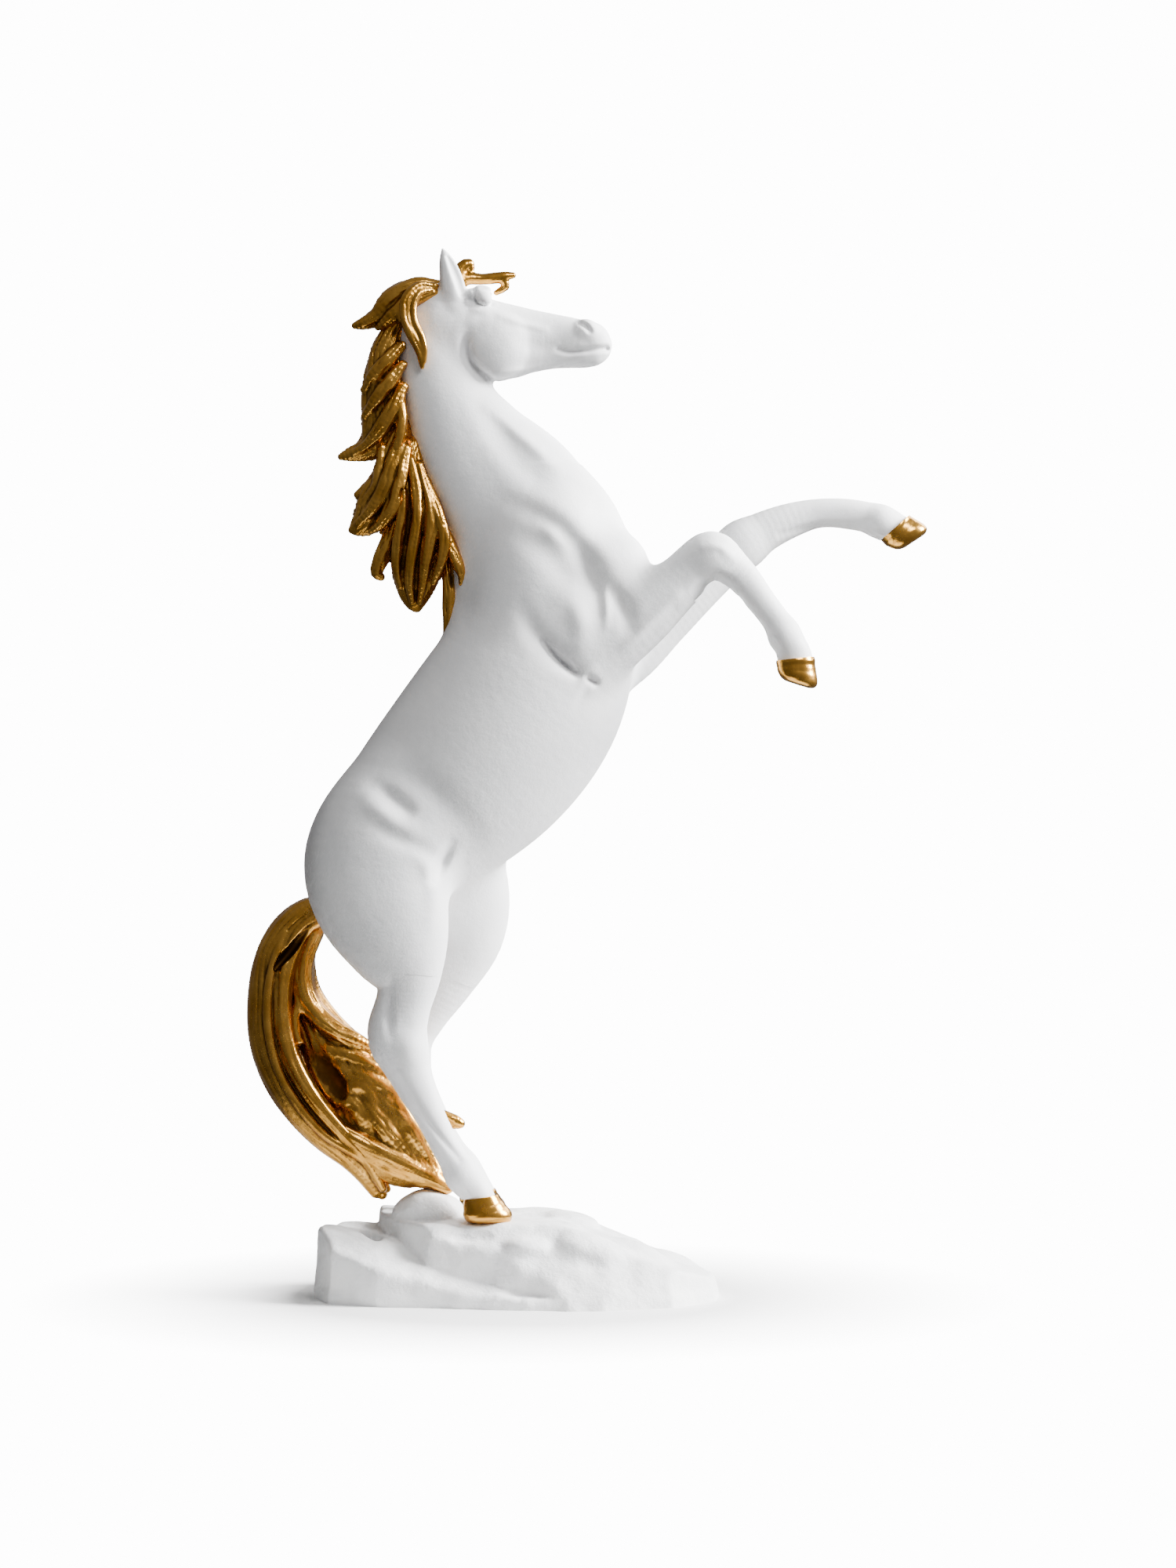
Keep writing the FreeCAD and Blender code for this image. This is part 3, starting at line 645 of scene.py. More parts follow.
def fore_parts(stations):
    y = stations[6][1]
    side = -1 if y < 0 else 1
    on = dict(side=side, from_y=8, fade=2)
    knee, cannon, fetlock = stations[5], stations[7], stations[-3]
    parts = [Sweep(stations[2:], power=2.2, step=2.5)]
    parts += [Ball((knee[0] + 0.5, y, knee[2] + 0.5), (8.2, 7.4, 8.2), blend=4)]
    parts += [Ball((fetlock[0] - 0.3, y, fetlock[2] - 0.3), (5.7, 5.6, 5.7), blend=3)]
    if side < 0:
        parts += [Stroke([(60, 246, 0.3), (66, 254, 1), (73, 256, 1), (79, 249, 0.7)], 2.0, -1.4, **on)]
        parts += [Stroke([(79, 250, 0.6), (86, 241, 1), (93, 231, 0.5)], 1.3, -0.9, **on)]
        parts += [Stroke([(66, 268, 0.5), (72, 268, 1), (77, 264, 0.5)], 1.8, 0.7, **on)]
    else:
        parts += [Stroke([(95, 274.5, 0.4), (107, 277.5, 1), (122, 278, 0.6)], 1.2, -0.8, **on)]
    return parts


# Lines on the head, as above. How far from the middle they begin is said where they are used.
JAW_CREASE = ([(-17.8, 346, 0.2), (-18.4, 340.8, 1), (-16, 334.5, 1.3), (-10.5, 329.6, 1)], 1.9, -1.6)
EYE_STROKES = [         # the eye's two corners and its two lids
    ([(-15.6, 361.6, 0.5), (-14.9, 358.4, 1), (-14.2, 356.4, 0.5)], 0.9, -0.9),
    ([(-9, 359.6, 0.5), (-8.4, 358, 1), (-9.2, 356, 0.4)], 0.8, -0.7),
    ([(-15, 360.4, 0.6), (-12, 361.2, 1), (-9, 360, 0.6)], 0.7, -0.6),
    ([(-14.6, 356.6, 0.5), (-12, 355.2, 1), (-9.4, 355.6, 0.5)], 0.8, -0.6),
]
TEMPLE_STROKES = [      # the hollow behind the eye and the fold under it
    ([(-22, 357.6, 0.6), (-19.6, 357, 1), (-17, 357.4, 0.4)], 1.5, -1.2),
    ([(-16, 354, 0.4), (-12.6, 353.4, 1), (-8.6, 354, 0.4)], 1.4, 0.5),
]
CHEEK_STROKES = [       # the facial crest, the hollow under it and the jaw's edge
    ([(-5.5, 351.2, 0.4), (1, 349.4, 1), (10, 347, 0.4)], 1.5, 0.6),
    ([(2, 341.5, 0.4), (9, 340.5, 1), (15, 341.5, 0.5)], 2.8, -0.7),
    ([(-8, 330.6, 0.5), (3, 332.6, 1), (16, 334.6, 0.5)], 1.1, 0.5),
]
MOUTH = [([(14.5, 339.8, 0.4), (18, 339, 1), (23, 339.1, 1), (28, 339.8, 1.1), (32, 340.3, 1.1)], 1.0, -1.5)]
NOSTRIL = [([(22.6, 349, 0.6), (24.6, 348, 1.1), (26, 346.4, 0.7)], 0.9, -1.5)]
HEAD_STROKES_FROM = 318     # the neck's strokes that reach above this height run on into the head


def skull_parts():
    """What the head shares with the top of the neck, so that the two meet exactly at the joint."""
    parts = [Sweep(CREST, blend=7, step=2.5), Sweep(SKULL, blend=5.5, power=2.4, step=2.5)]
    parts += both((-7.2, -5.4, 341), (10.4, 4.8, 11.6), tilt=-8, blend=2.5)         # cheeks
    return parts + strokes([JAW_CREASE], from_y=2)


def ear(side):
    shell = [(-22, 5.2 * side, 355.5, 4.4, 4), (-23, 6.4 * side, 361, 4.6, 3.6),
             (-24, 7 * side, 366.5, 3.8, 3), (-25.4, 7.4 * side, 371.5, 2.4, 2),
             (-26.6, 7.5 * side, 375.4, 0.5, 0.6)]
    hollow = [(-19, 9.6 * side, 359, 1.5, 1.6), (-20.4, 10 * side, 364, 2.0, 1.9),
              (-22.4, 9.7 * side, 368.5, 1.6, 1.5), (-24.7, 9 * side, 372.5, 0.6, 0.6)]
    return [Sweep(shell, blend=2, step=1.5), Sweep(hollow, blend=0.8, step=1.5, cut=True)]


def head_parts():
    parts = [Sweep(NECK, step=2.5)] + skull_parts()
    parts += [Ball((27.2, 0, 344), (4.2, 5.2, 5.2), tilt=-20, blend=2)]                   # upper lip
    parts += both((25, -3.8, 347), (4, 2.8, 3.6), tilt=-40, blend=2)                # nostril rims
    parts += [Ball((24, 0, 337.6), (6.8, 4.4, 2.8), tilt=4, blend=2)]                     # chin
    parts += strokes(MOUTH, from_y=-3)
    parts += both((-13.6, -6.6, 360), (4.6, 2.8, 2.6), tilt=8, blend=3)             # brows
    parts += both((-11.9, -7.6, 357.8), (3.4, 2.5, 2.8), tilt=-15, blend=1.6)       # eyes
    parts += strokes(EYE_STROKES, from_y=4) + strokes(TEMPLE_STROKES, from_y=3)
    parts += ear(-1) + ear(1)
    parts += strokes(NOSTRIL, from_y=1.5, fade=1.5) + strokes(CHEEK_STROKES, from_y=2)
    return parts + [line for line in trunk_strokes() if line.high[2] > HEAD_STROKES_FROM]


# ---------------------------------------------------------------- gold hair

# Each lock is (grooves, stations). The stations run from the root to the tip.
MANE_CROWN = [
    (3, [(-29, -4, 360, 2.6, 3.2), (-37, -5.6, 357.6, 3.2, 3.6), (-43, -5.8, 353, 3.2, 3.2),
         (-47.5, -4.2, 349.4, 2.1, 2.4), (-50, -2.6, 347.9, 1.2, 1.4)]),
    (2, [(-30, -6, 360, 2, 2.6), (-37.2, -7.2, 357, 2.4, 2.6), (-40.8, -7.2, 350.5, 2.4, 2.4),
         (-41.2, -7, 346.4, 1.4, 1.6)]),
    (3, [(-28, -1, 363.4, 1.8, 3), (-36, -2.4, 364, 2.2, 3.6), (-44, -2.8, 360.2, 2.2, 3.4),
         (-49.5, -2.2, 354.8, 1.6, 2.4)]),
    (3, [(-29, 4, 360, 2.6, 3.2), (-38, 5.8, 358, 3.4, 3.8), (-45, 5.4, 353, 3.2, 3.4),
         (-50.5, 3.6, 348.9, 1.3, 1.6)]),
]
MANE_CURL = [
    (2, [(-29.5, -6.2, 362.2, 1.6, 1.7), (-35, -8.8, 362, 2, 1.8), (-39.2, -10.2, 357.5, 2.2, 1.9),
         (-40, -10.8, 351, 2.2, 1.9), (-37.6, -11, 344.6, 2.1, 1.9), (-35, -10.9, 339.5, 1.8, 1.7),
         (-34, -10.6, 334.8, 1.2, 1.2), (-33.8, -10.4, 332.9, 0.8, 0.8)]),
    (0, [(-30.5, -7.4, 360.6, 1, 1.3), (-34.5, -9.6, 359.6, 1.2, 1.4), (-36.6, -10.8, 355.5, 1.2, 1.4),
         (-36.6, -11.2, 350, 1.2, 1.4), (-34, -11.4, 344, 1.2, 1.4), (-32.8, -11.2, 339, 1, 1.2),
         (-32.9, -10.9, 335, 0.7, 0.9)]),
]
MANE_UPPER = [
    (2, [(-41.5, -5.5, 341, 2, 2.4), (-46, -7.4, 336, 2.6, 2.4), (-51, -6.6, 330.5, 2.6, 2.2),
         (-55, -3.6, 325.5, 1.4, 1.5)]),
    (2, [(-41, -6.4, 334, 2, 2.4), (-45.5, -8, 328, 2.8, 2.4), (-50.5, -7, 321.5, 2.6, 2.2),
         (-54.8, -4, 316, 1.3, 1.4)]),
    (3, [(-40.8, -6.6, 326, 2.2, 2.4), (-44, -8, 319, 3, 2.6), (-48.5, -7.2, 311.5, 3, 2.4),
         (-54, -4.6, 305.6, 2, 1.8), (-58.6, -2.6, 303, 1.2, 1.3)]),
    (1, [(-41.5, -6.8, 322, 1.8, 2.2), (-41.2, -8, 314, 2.2, 2.4), (-42.6, -7.6, 306, 2, 2.2),
         (-44.6, -6.4, 300, 1.2, 1.4)]),
    (3, [(-42, 5, 341, 3, 3), (-48, 6.6, 331, 4, 3.2), (-51, 6, 319, 4.2, 3.2), (-54, 4.4, 308.5, 3, 2.6),
         (-59, 2.4, 303.6, 1.4, 1.6)]),
    (2, [(-41, 6, 333, 2.4, 2.6), (-43.5, 7.4, 321, 3.2, 2.8), (-44.5, 7, 309, 3, 2.6),
         (-47, 5.4, 300.5, 1.4, 1.6)]),
]
MANE_MIDDLE = [
    (2, [(-47, 0, 294.5, 3, 4.4), (-53, -0.5, 290.5, 2.8, 3.4), (-57.4, -0.5, 288, 1.5, 1.8)]),
    (2, [(-41, -5, 309, 2.4, 3), (-44.6, -7, 299, 3, 3), (-47.6, -7, 289.5, 3, 2.8),
         (-52, -5.6, 282.5, 2.6, 2.4), (-57, -3, 277.6, 1.3, 1.5)]),
    (2, [(-39.6, -5.6, 304, 2.2, 2.8), (-41.6, -7.6, 294, 2.8, 3), (-44, -7.8, 284.5, 3, 2.8),
         (-48.6, -6.4, 277.4, 2.2, 2.2), (-52.5, -4.4, 274.8, 1.1, 1.2)]),
    (1, [(-48.6, -4, 304.5, 1.8, 2.2), (-49.4, -5, 297.5, 2, 2.2), (-50.8, -5.4, 291, 1.8, 2),
         (-54, -4, 285.6, 1, 1.1)]),
    (3, [(-41, 5, 309, 3, 3.4), (-45, 7, 297, 4.2, 3.4), (-49.5, 6, 286, 4.2, 3.2),
         (-54.6, 3.8, 279, 2.2, 2.2), (-57.5, 2.4, 276.5, 1.1, 1.2)]),
    (2, [(-38.6, 7, 303, 2.6, 2.8), (-41.6, 8, 291, 3.2, 3), (-45.6, 6.8, 281, 2.4, 2.4),
         (-49, 5, 275, 1.1, 1.2)]),
]
MANE_LOWER = [
    (2, [(-44, 0, 278, 3, 5), (-46.6, -0.5, 270, 3.4, 4.4), (-49.6, -1, 263.5, 2.9, 3.2),
         (-50.6, -1, 259.8, 2.2, 2.4), (-49, -1, 258.4, 1.5, 1.6)]),
    (2, [(-38, -6.4, 300, 1.8, 2.2), (-36, -8, 289, 2.3, 2.6), (-35.6, -9, 278, 2.4, 2.6),
         (-37.6, -8.4, 266, 2.2, 2.2), (-38.6, -6.4, 256, 1.8, 1.8), (-37.8, -4.4, 249.6, 1, 1.1)]),
    (2, [(-35, -6.6, 298, 1.8, 2.2), (-31.4, -8.4, 286, 2.4, 2.6), (-30.6, -9.4, 276, 2.8, 2.6),
         (-32.4, -8.8, 265, 2.4, 2.2), (-34, -6.2, 255, 1.6, 1.6), (-35, -4, 249, 1, 1)]),
    (2, [(-40.6, -6, 294, 1.6, 2.2), (-40.8, -7.6, 283, 2.2, 2.4), (-42.4, -7.4, 272, 2.2, 2.2),
         (-43.2, -5.8, 262, 1.8, 1.8), (-42, -4, 254.8, 1, 1.1)]),
    (2, [(-32, -6.4, 292, 1.6, 2), (-28, -9, 281, 2.2, 2.6), (-25.8, -10.4, 271.5, 2.4, 2.4),
         (-27.4, -9.4, 262.5, 2, 2), (-30, -7, 256, 1.1, 1.2)]),
    (3, [(-36, 6.5, 300, 3, 3), (-34.5, 8, 286, 3.8, 3.4), (-35.6, 8, 272, 4, 3.2),
         (-37, 6.2, 259, 2.8, 2.4), (-37, 4, 250.6, 1.2, 1.3)]),
    (2, [(-30.6, 6.5, 290, 2.4, 2.6), (-28, 9, 277, 2.8, 2.8), (-28.6, 8.6, 266, 2.4, 2.4),
         (-31, 6, 257.6, 1.1, 1.2)]),
    (2, [(-41, 6, 293, 2, 2.4), (-41.6, 7.4, 281, 2.4, 2.6), (-43.4, 6.6, 269, 2.4, 2.2),
         (-44.4, 4.6, 260, 1.1, 1.2)]),
]
MANE_WITHERS = [
    (2, [(-25.5, -6, 274, 2, 3), (-22.6, -8.4, 266, 2.6, 3), (-20.2, -8.6, 259.6, 2, 2.6),
         (-20, -7.6, 255.8, 1.1, 1.6)]),
    (3, [(-25.6, -3, 264, 2.4, 4), (-24.6, -4.4, 256, 2.6, 3.6), (-24.2, -4, 248, 3, 3.2),
         (-24.8, -3, 240, 2.2, 2.4), (-25.8, -2, 233, 1.3, 1.5), (-27.1, -1.2, 227.4, 0.8, 0.9)]),
    (2, [(-25, 3, 272, 2.4, 4), (-23, 4.4, 260, 3, 3.4), (-24.5, 3.2, 248, 2, 2.6),
         (-26, 1.4, 237, 1, 1.2)]),
]
FORELOCK = [
    (0, [(-24, 1.5, 361.5, 2.5, 2.5), (-21.5, 2.5, 366, 2.4, 2.4), (-20, 3, 370, 2.4, 2.4),
         (-17.6, 3.2, 371.3, 2.1, 2.1), (-17, 3.2, 368.8, 1.4, 1.4)]),
    (0, [(-23, 2, 361.5, 2.8, 2.8), (-18.8, 3, 366, 2.4, 2.4), (-13, 3.6, 366, 2, 2.1),
         (-8, 3.6, 366.6, 1.9, 2), (-4, 3.6, 367.2, 1.6, 1.8), (-1.6, 3.6, 367.4, 1.1, 1.2)]),
    (0, [(-11, 3.6, 365.8, 1.4, 1.6), (-5.4, 3.9, 365.8, 1.6, 1.8), (-4.4, 4.1, 363.4, 1.5, 1.5),
         (-7.7, 4.2, 361.2, 1, 1.1)]),
]
TAIL_OUTER = [
    (3, [(-66, 0, 141, 4, 6), (-78, 0, 137.6, 4, 6.5), (-88, 0, 126, 4.4, 7.3), (-92.6, 0, 107, 4.5, 7.8),
         (-91, 0, 88, 4.7, 7.8), (-82.7, 0, 71, 4.9, 7.5), (-70, 0, 57, 4.8, 7),
         (-58.7, 0, 47.3, 3.6, 5.4), (-51, 0, 37, 2, 2.8)]),
    (0, [(-83, -7.5, 131, 1, 1.2), (-87, -9.2, 120, 1.5, 1.6), (-89, -9.9, 108, 1.7, 1.7),
         (-88.6, -10, 95, 1.7, 1.7), (-85, -9.6, 81, 1.6, 1.6), (-78.6, -9.2, 69.8, 1.6, 1.6),
         (-69.2, -8.4, 58.8, 1.5, 1.6), (-58.4, -7.2, 51.6, 1.4, 1.5), (-52, -6, 46.8, 1.1, 1.2)]),
    (3, [(-66, -3, 138.5, 3.4, 4), (-77, -4.8, 132, 4, 4.5), (-82.6, -6.2, 119, 4, 5),
         (-84, -7, 103, 4, 5.2), (-81.4, -7.2, 88, 4, 5.2), (-74.4, -7, 74, 3.6, 5),
         (-64, -6, 61, 3.4, 4.6), (-54, -5, 50, 2.8, 3.8), (-48.2, -4, 39, 1.6, 2.2)]),
    (3, [(-66, 3, 138.5, 3.4, 4), (-77, 5, 133, 4, 4.5), (-85, 7, 118, 4.7, 5), (-86.5, 8, 101, 5, 5.4),
         (-82.5, 8, 84.5, 5, 5.4), (-73, 7.5, 69.5, 4.8, 5), (-61, 6, 57, 4.2, 4.6),
         (-51.5, 4, 46, 2.8, 3.4), (-47, 3, 38, 1.4, 1.8)]),
]
TAIL_INNER = [
    (2, [(-73, -2.5, 130, 3, 4), (-77, -4, 119, 3.8, 4.6), (-76.4, -4.4, 109, 4, 4.8),
         (-71, -4.6, 100.6, 3.8, 4.4), (-64, -5, 95.2, 3.4, 3.8), (-58, -4.6, 92.2, 2.9, 3.2),
         (-53.2, -3.6, 90.2, 1.8, 2)]),
    (4, [(-78, 4, 112, 4, 3.5), (-74, 5, 97, 7, 3.5), (-66, 6, 83, 9, 3.5), (-55, 6, 71, 9, 3.5),
         (-43, 5, 60, 6, 3.5), (-31, 3, 52, 2, 2.5)]),
    (1, [(-78, -5.4, 108, 1.4, 2), (-79.6, -6.8, 100, 1.8, 2), (-78, -7.2, 92, 1.7, 1.9),
         (-73, -6.8, 85, 1.3, 1.5)]),
    (1, [(-67, -3.5, 88.5, 2.2, 2.6), (-59, -5, 86, 2.6, 2.6), (-52, -4.8, 82.6, 2.6, 2.6),
         (-47, -3.6, 80.4, 1.5, 1.6)]),
    (1, [(-64.5, -4, 80.8, 2, 2.2), (-58, -5.6, 80, 2.2, 2.2), (-52.5, -6, 78, 1.9, 2),
         (-47, -5.4, 75.6, 1.5, 1.6), (-42.8, -4.2, 73, 1.1, 1.2)]),
    (0, [(-61.5, -5, 74.6, 1.4, 1.6), (-57, -6.2, 76, 1.4, 1.6), (-53.6, -6.4, 74.4, 1.4, 1.6),
         (-51.8, -6.2, 70, 1.3, 1.4), (-50.4, -5.6, 66.4, 0.8, 0.9)]),
    (1, [(-64, -4.5, 71, 1.9, 2.2), (-58.8, -6, 69.2, 2, 2.2), (-55.6, -6.4, 64.8, 1.7, 1.9),
         (-53.4, -5.8, 60.8, 0.9, 1)]),
    (1, [(-48, -3.5, 72, 2.4, 2.8), (-42, -4.8, 66, 3, 3.2), (-38, -5, 59.5, 2.8, 3),
         (-35, -4, 53.4, 1.6, 1.7)]),
    (2, [(-53, -5.6, 68, 1.8, 2), (-49, -7, 62.5, 2.6, 2.5), (-45, -6.8, 57, 2.4, 2.3),
         (-41, -5.6, 52.8, 1.2, 1.3)]),
    (1, [(-41, -3, 68, 2, 2.8), (-36, -4, 60, 2.4, 2.8), (-32.6, -3.6, 52, 2, 2.3),
         (-29.5, -3, 46.6, 1.2, 1.4)]),
    (2, [(-73, -5, 67.5, 1.8, 2.2), (-63, -6.8, 60.8, 2.2, 2.4), (-51, -7.6, 54, 2.2, 2.5),
         (-39, -7, 47.8, 2.1, 2.3), (-29.5, -5.4, 43.4, 1.2, 1.3)]),
    (2, [(-68, -5.6, 60.5, 1.6, 2), (-57, -7, 55.2, 2, 2.2), (-46, -7.4, 49.6, 2.1, 2.4),
         (-35, -6.4, 43.8, 2.1, 2.2), (-26.4, -4.8, 39.6, 1.9, 2), (-25, -4.4, 39, 1.6, 1.7)]),
    (1, [(-60, -5.6, 53.5, 1.6, 2), (-51, -6.8, 49, 2.1, 2.3), (-42, -6.6, 44.4, 2.1, 2.3),
         (-34.5, -5.6, 41, 1.4, 1.6)]),
    (1, [(-56, -3, 50, 2.6, 3.4), (-48, -4, 44.8, 3.4, 3.6), (-42, -4, 41.8, 2.6, 3),
         (-39, -3.6, 40.8, 1.6, 2)]),
    (1, [(-48, 3, 74, 3, 3), (-38, 3, 69, 2.8, 2.8), (-29, 2, 65, 2.6, 2.6), (-22.8, 1, 62.4, 2.8, 2.6),
         (-20.6, 1, 61.8, 1.8, 1.8)]),
    (2, [(-72, 7, 92, 3, 3), (-60, 8.4, 80, 3.4, 3), (-48, 8, 66, 3.4, 3), (-38, 6, 54, 2.6, 2.6),
         (-30, 4, 45, 1.2, 1.4)]),
    (2, [(-68, 8, 80, 3, 3), (-58, 9, 67, 3.4, 3), (-46, 8, 54, 3, 3), (-35, 5, 44, 1.4, 1.6)]),
]

# The mass that the locks lie on, in the same form, for the parts of the mane and tail that have one.
CORES = {
    "mane_crown": [(4, [
        (-28, 0, 361, 3.5, 5.5), (-37, 0, 361.5, 4.6, 6.5), (-45, 0, 357.5, 5.2, 6.2),
        (-50.5, 0, 352, 3.6, 4.6), (-55.5, 0, 349.6, 2.4, 3.2), (-58.4, 0, 348.9, 1.3, 1.6)])],
    "mane_upper": [(6, [
        (-42, 0, 351.5, 3.4, 5), (-45, 0, 345, 5, 6), (-47.5, 0, 337, 6.5, 7), (-48.2, 0, 326, 8, 7.2),
        (-48.4, 0, 315, 8.2, 6.8), (-50.4, 0, 307.4, 6.4, 5.2), (-55, 0, 304, 4.2, 3.8),
        (-60, 0, 302.6, 2.7, 2.6), (-63.4, 0, 301.7, 1.3, 1.5)])],
    "mane_middle": [(6, [
        (-42, 0, 312, 4.5, 6), (-43.6, 0, 303, 6.8, 7), (-45.6, 0, 294, 7.2, 7), (-50, 0, 285.5, 8, 6.6),
        (-53.4, 0, 279.6, 6.2, 5), (-57, 0, 276.4, 3.4, 3.2), (-59.4, 0, 275.4, 1.5, 1.7)])],
    "mane_lower": [(8, [
        (-38, 0, 305, 4.5, 6.5), (-36.4, 0, 293, 6.4, 8), (-34.6, 0, 281, 9.2, 8.8),
        (-34.7, 0, 271, 10.8, 8.4), (-36.2, 0, 261.5, 9.6, 6.8), (-36.8, 0, 254.5, 6.6, 4.8),
        (-36.8, 0, 250, 4, 3.4), (-36.2, 0, 247.6, 2, 2)])],
    "tail_outer": [(7, [
        (-68, 0, 141, 4, 6), (-78, 0, 136.4, 5.6, 8), (-86.4, 0, 125, 6.8, 9),
        (-89.4, 0, 107.5, 7.6, 9.4), (-88, 0, 89.5, 7.9, 9.6), (-81.2, 0, 74, 7.8, 9),
        (-70.6, 0, 61.5, 7.4, 8.4), (-60, 0, 51.8, 6, 7), (-52.5, 0, 42.6, 3.8, 5),
        (-48.6, 0, 36.4, 1.9, 2.4)])],
    "tail_inner": [(6, [
        (-72, 2, 134, 4, 5), (-77.5, 2, 123, 5, 5.5), (-77.2, 2, 109, 6.6, 6), (-70.6, 2, 94, 9.6, 6),
        (-60.5, 1, 80.5, 13.5, 7.4), (-51, 0, 67.5, 15.5, 7.8), (-42.5, -1, 55.5, 13, 7),
        (-34.5, -2, 46.5, 7.5, 4.6), (-28, -3, 41.4, 3.4, 3.4), (-25.4, -3.6, 39.6, 2, 2.4)])],
}
# Recesses cut between the locks, with painted shade round them: middle, half sizes and tilt.
POCKETS = {
    "mane_crown": [((-42.6, -8, 346.6), (2.2, 3, 2.6), 0)],
    "mane_upper": [((-42.5, -8.5, 346), (3, 3.4, 3), 0)],
    "mane_middle": [((-40.6, -9, 286.6), (1, 2.6, 3), 10)],
    "mane_withers": [((-22.7, -9, 256.8), (1.6, 3, 3), 0)],
    "tail_outer": [((-80.5, -9.4, 125), (10, 3, 1.7), 50)],
    "tail_inner": [((-70.2, -8.5, 80.5), (13, 6.4, 6), -50)],
}
GROOVE = 0.62        # depth of the lines carved along a lock
LOCK_BLEND, FAN_BLEND = 0.9, 2.8        # how softly locks join, and those of the fan inside the tail
FEW_GROOVES = 4   # a lock with more grooves than this has wavier ones


def hair_parts(name, locks):
    blend = FAN_BLEND if name == "tail_inner" else LOCK_BLEND
    parts = []
    for i, (grooves, stations) in enumerate(CORES.get(name, []) + locks):
        parts.append(Sweep(stations, blend=blend, step=2.0, grooves=grooves, groove_deep=GROOVE,
                           phase=0.37 * i + 0.2, wave=0.8 if grooves > FEW_GROOVES else 0.35))
    return parts + pockets(name)


def pockets(name):
    """The deep dark hollows between the locks."""
    return [Ball(centre, radii, tilt=tilt, blend=1.2, cut=True)
            for centre, radii, tilt in POCKETS.get(name, [])]


# ---------------------------------------------------------------- the rock base

class Block:
    """Upright stone on an outline of (x, y), drawn in upwards by draft. Each top is a point and its
    way up."""

    def __init__(self, outline, tops, draft=0.0, soft=2.0, blend=0.0, cut=False):
        self.a = np.asarray(outline, float)
        self.d = np.roll(self.a, -1, axis=0) - self.a
        self.tops = [(np.array(point, float), np.array(way, float) / np.linalg.norm(way))
                     for point, way in tops]
        self.draft, self.soft, self.blend, self.cut = draft, soft, blend, cut
        self.low = np.array([*self.a.min(0) - 3, -8.0])
        self.high = np.array([*self.a.max(0) + 3, 40.0])

    def __call__(self, p):
        q = p[:, :2]
        rel = q[:, None, :] - self.a
        t = np.clip((rel * self.d).sum(2) / (self.d**2).sum(1), 0, 1)
        near = rel - t[..., None] * self.d
        dist = np.sqrt((near * near).sum(2).min(1))
        y0, y1 = self.a[:, 1], self.a[:, 1] + self.d[:, 1]
        crosses = (y0 <= q[:, 1:]) != (y1 <= q[:, 1:])
        x = self.a[:, 0] + (q[:, 1:] - y0) * self.d[:, 0] / np.where(self.d[:, 1] == 0, 1e-9, self.d[:, 1])
        inside = (crosses & (q[:, :1] < x)).sum(1) % 2 == 1
        f = np.where(inside, -dist, dist) + self.draft * p[:, 2]
        for point, way in self.tops:
            f = -joined(-f, -(p - point) @ way, self.soft)
        return f


def lattice_noise(p, size, seed):
    """Smooth random numbers from -1 to 1, the same each run."""
    rng = np.random.default_rng(seed)
    table = rng.uniform(-1, 1, (16, 16, 16))
    g = p / size
    i = np.floor(g).astype(int)
    t = g - i
    t = t * t * (3 - 2 * t)
    out = np.zeros(len(p))
    for dx in (0, 1):
        for dy in (0, 1):
            for dz in (0, 1):
                w = np.abs(1 - dx - t[:, 0]) * np.abs(1 - dy - t[:, 1]) * np.abs(1 - dz - t[:, 2])
                out += w * table[(i[:, 0] + dx) % 16, (i[:, 1] + dy) % 16, (i[:, 2] + dz) % 16]
    return out


class Roughen(Stroke):
    """Lumps of a given size and height, all over."""

    def __init__(self, size, height, seed, stretch=(1, 1, 1)):
        self.size, self.height, self.seed, self.stretch = size, height, seed, np.asarray(stretch, float)
        self.low, self.high = np.full(3, -999.0), np.full(3, 999.0)

    def __call__(self, p):
        return self.height * lattice_noise(p * self.stretch + 500, self.size, self.seed)


# Outlines as (x, y): the foot of the rock, and the left and front edge of its upper step.
ROCK = [(-72, -6), (-66, -24), (-49, -33), (-26, -37), (4, -44), (31, -45), (55, -35), (70, -16), (72, 3),
        (61, 21), (37, 33), (12, 41), (-20, 39), (-48, 36), (-66, 22)]
RIDGE = [(-54, 37), (-53, 12), (-49.5, -5), (-43, -17), (-32, -28.5), (-20, -32), (-8, -34), (6, -39.5),
         (18, -45.5)]
# Planes that bound the whole rock, its lower step and its foot from above: a point and the way up.
ROCK_TOPS = [((0, 0, 28), (0.02, 0, 1)), ((15, 0, 28), (0.36, 0, 1)), ((0, -23, 28), (0, -1.05, 1)),
             ((17, -45, 6.5), (0.2, -1, 1))]
LOWER_TOPS = [((-60, 0, 24), (0.12, 0, 1)), ((-60, -14, 24), (0.12, -0.55, 1))]
FOOT_TOPS = [((0, 0, 4.5), (0, 0, 1)), ((17, -45, 4), (0.2, -1, 1))]
# Swellings on the top, as centre, half sizes, tilt and blend, and hollows in the back wall.
ROCK_BUMPS = [((27, -27, 19), (12, 7, 4.5), -14, 4), ((44, -14, 15.5), (10, 9, 4), -18, 5),
              ((20, 12, 25.5), (9, 10, 3.4), -10, 4), ((55, 6, 11.5), (8, 9, 3.6), -20, 4),
              ((4, -29, 20.5), (7, 5, 3), 0, 3)]
BACK_HOLLOWS = [((-34, 42, 15), (13, 6, 6)), ((-2, 45.5, 18), (12, 7.5, 6)), ((25, 42, 6), (10, 7, 5)),
                ((52, 32, 12), (9, 7, 5)), ((-60, 33, 19), (7, 7, 6)), ((-8, 43, 4), (9, 5, 4))]
FELT, FELT_INSET = 1.2, 2.97     # depth of the felt's recess, and how far in from the rock's foot it begins


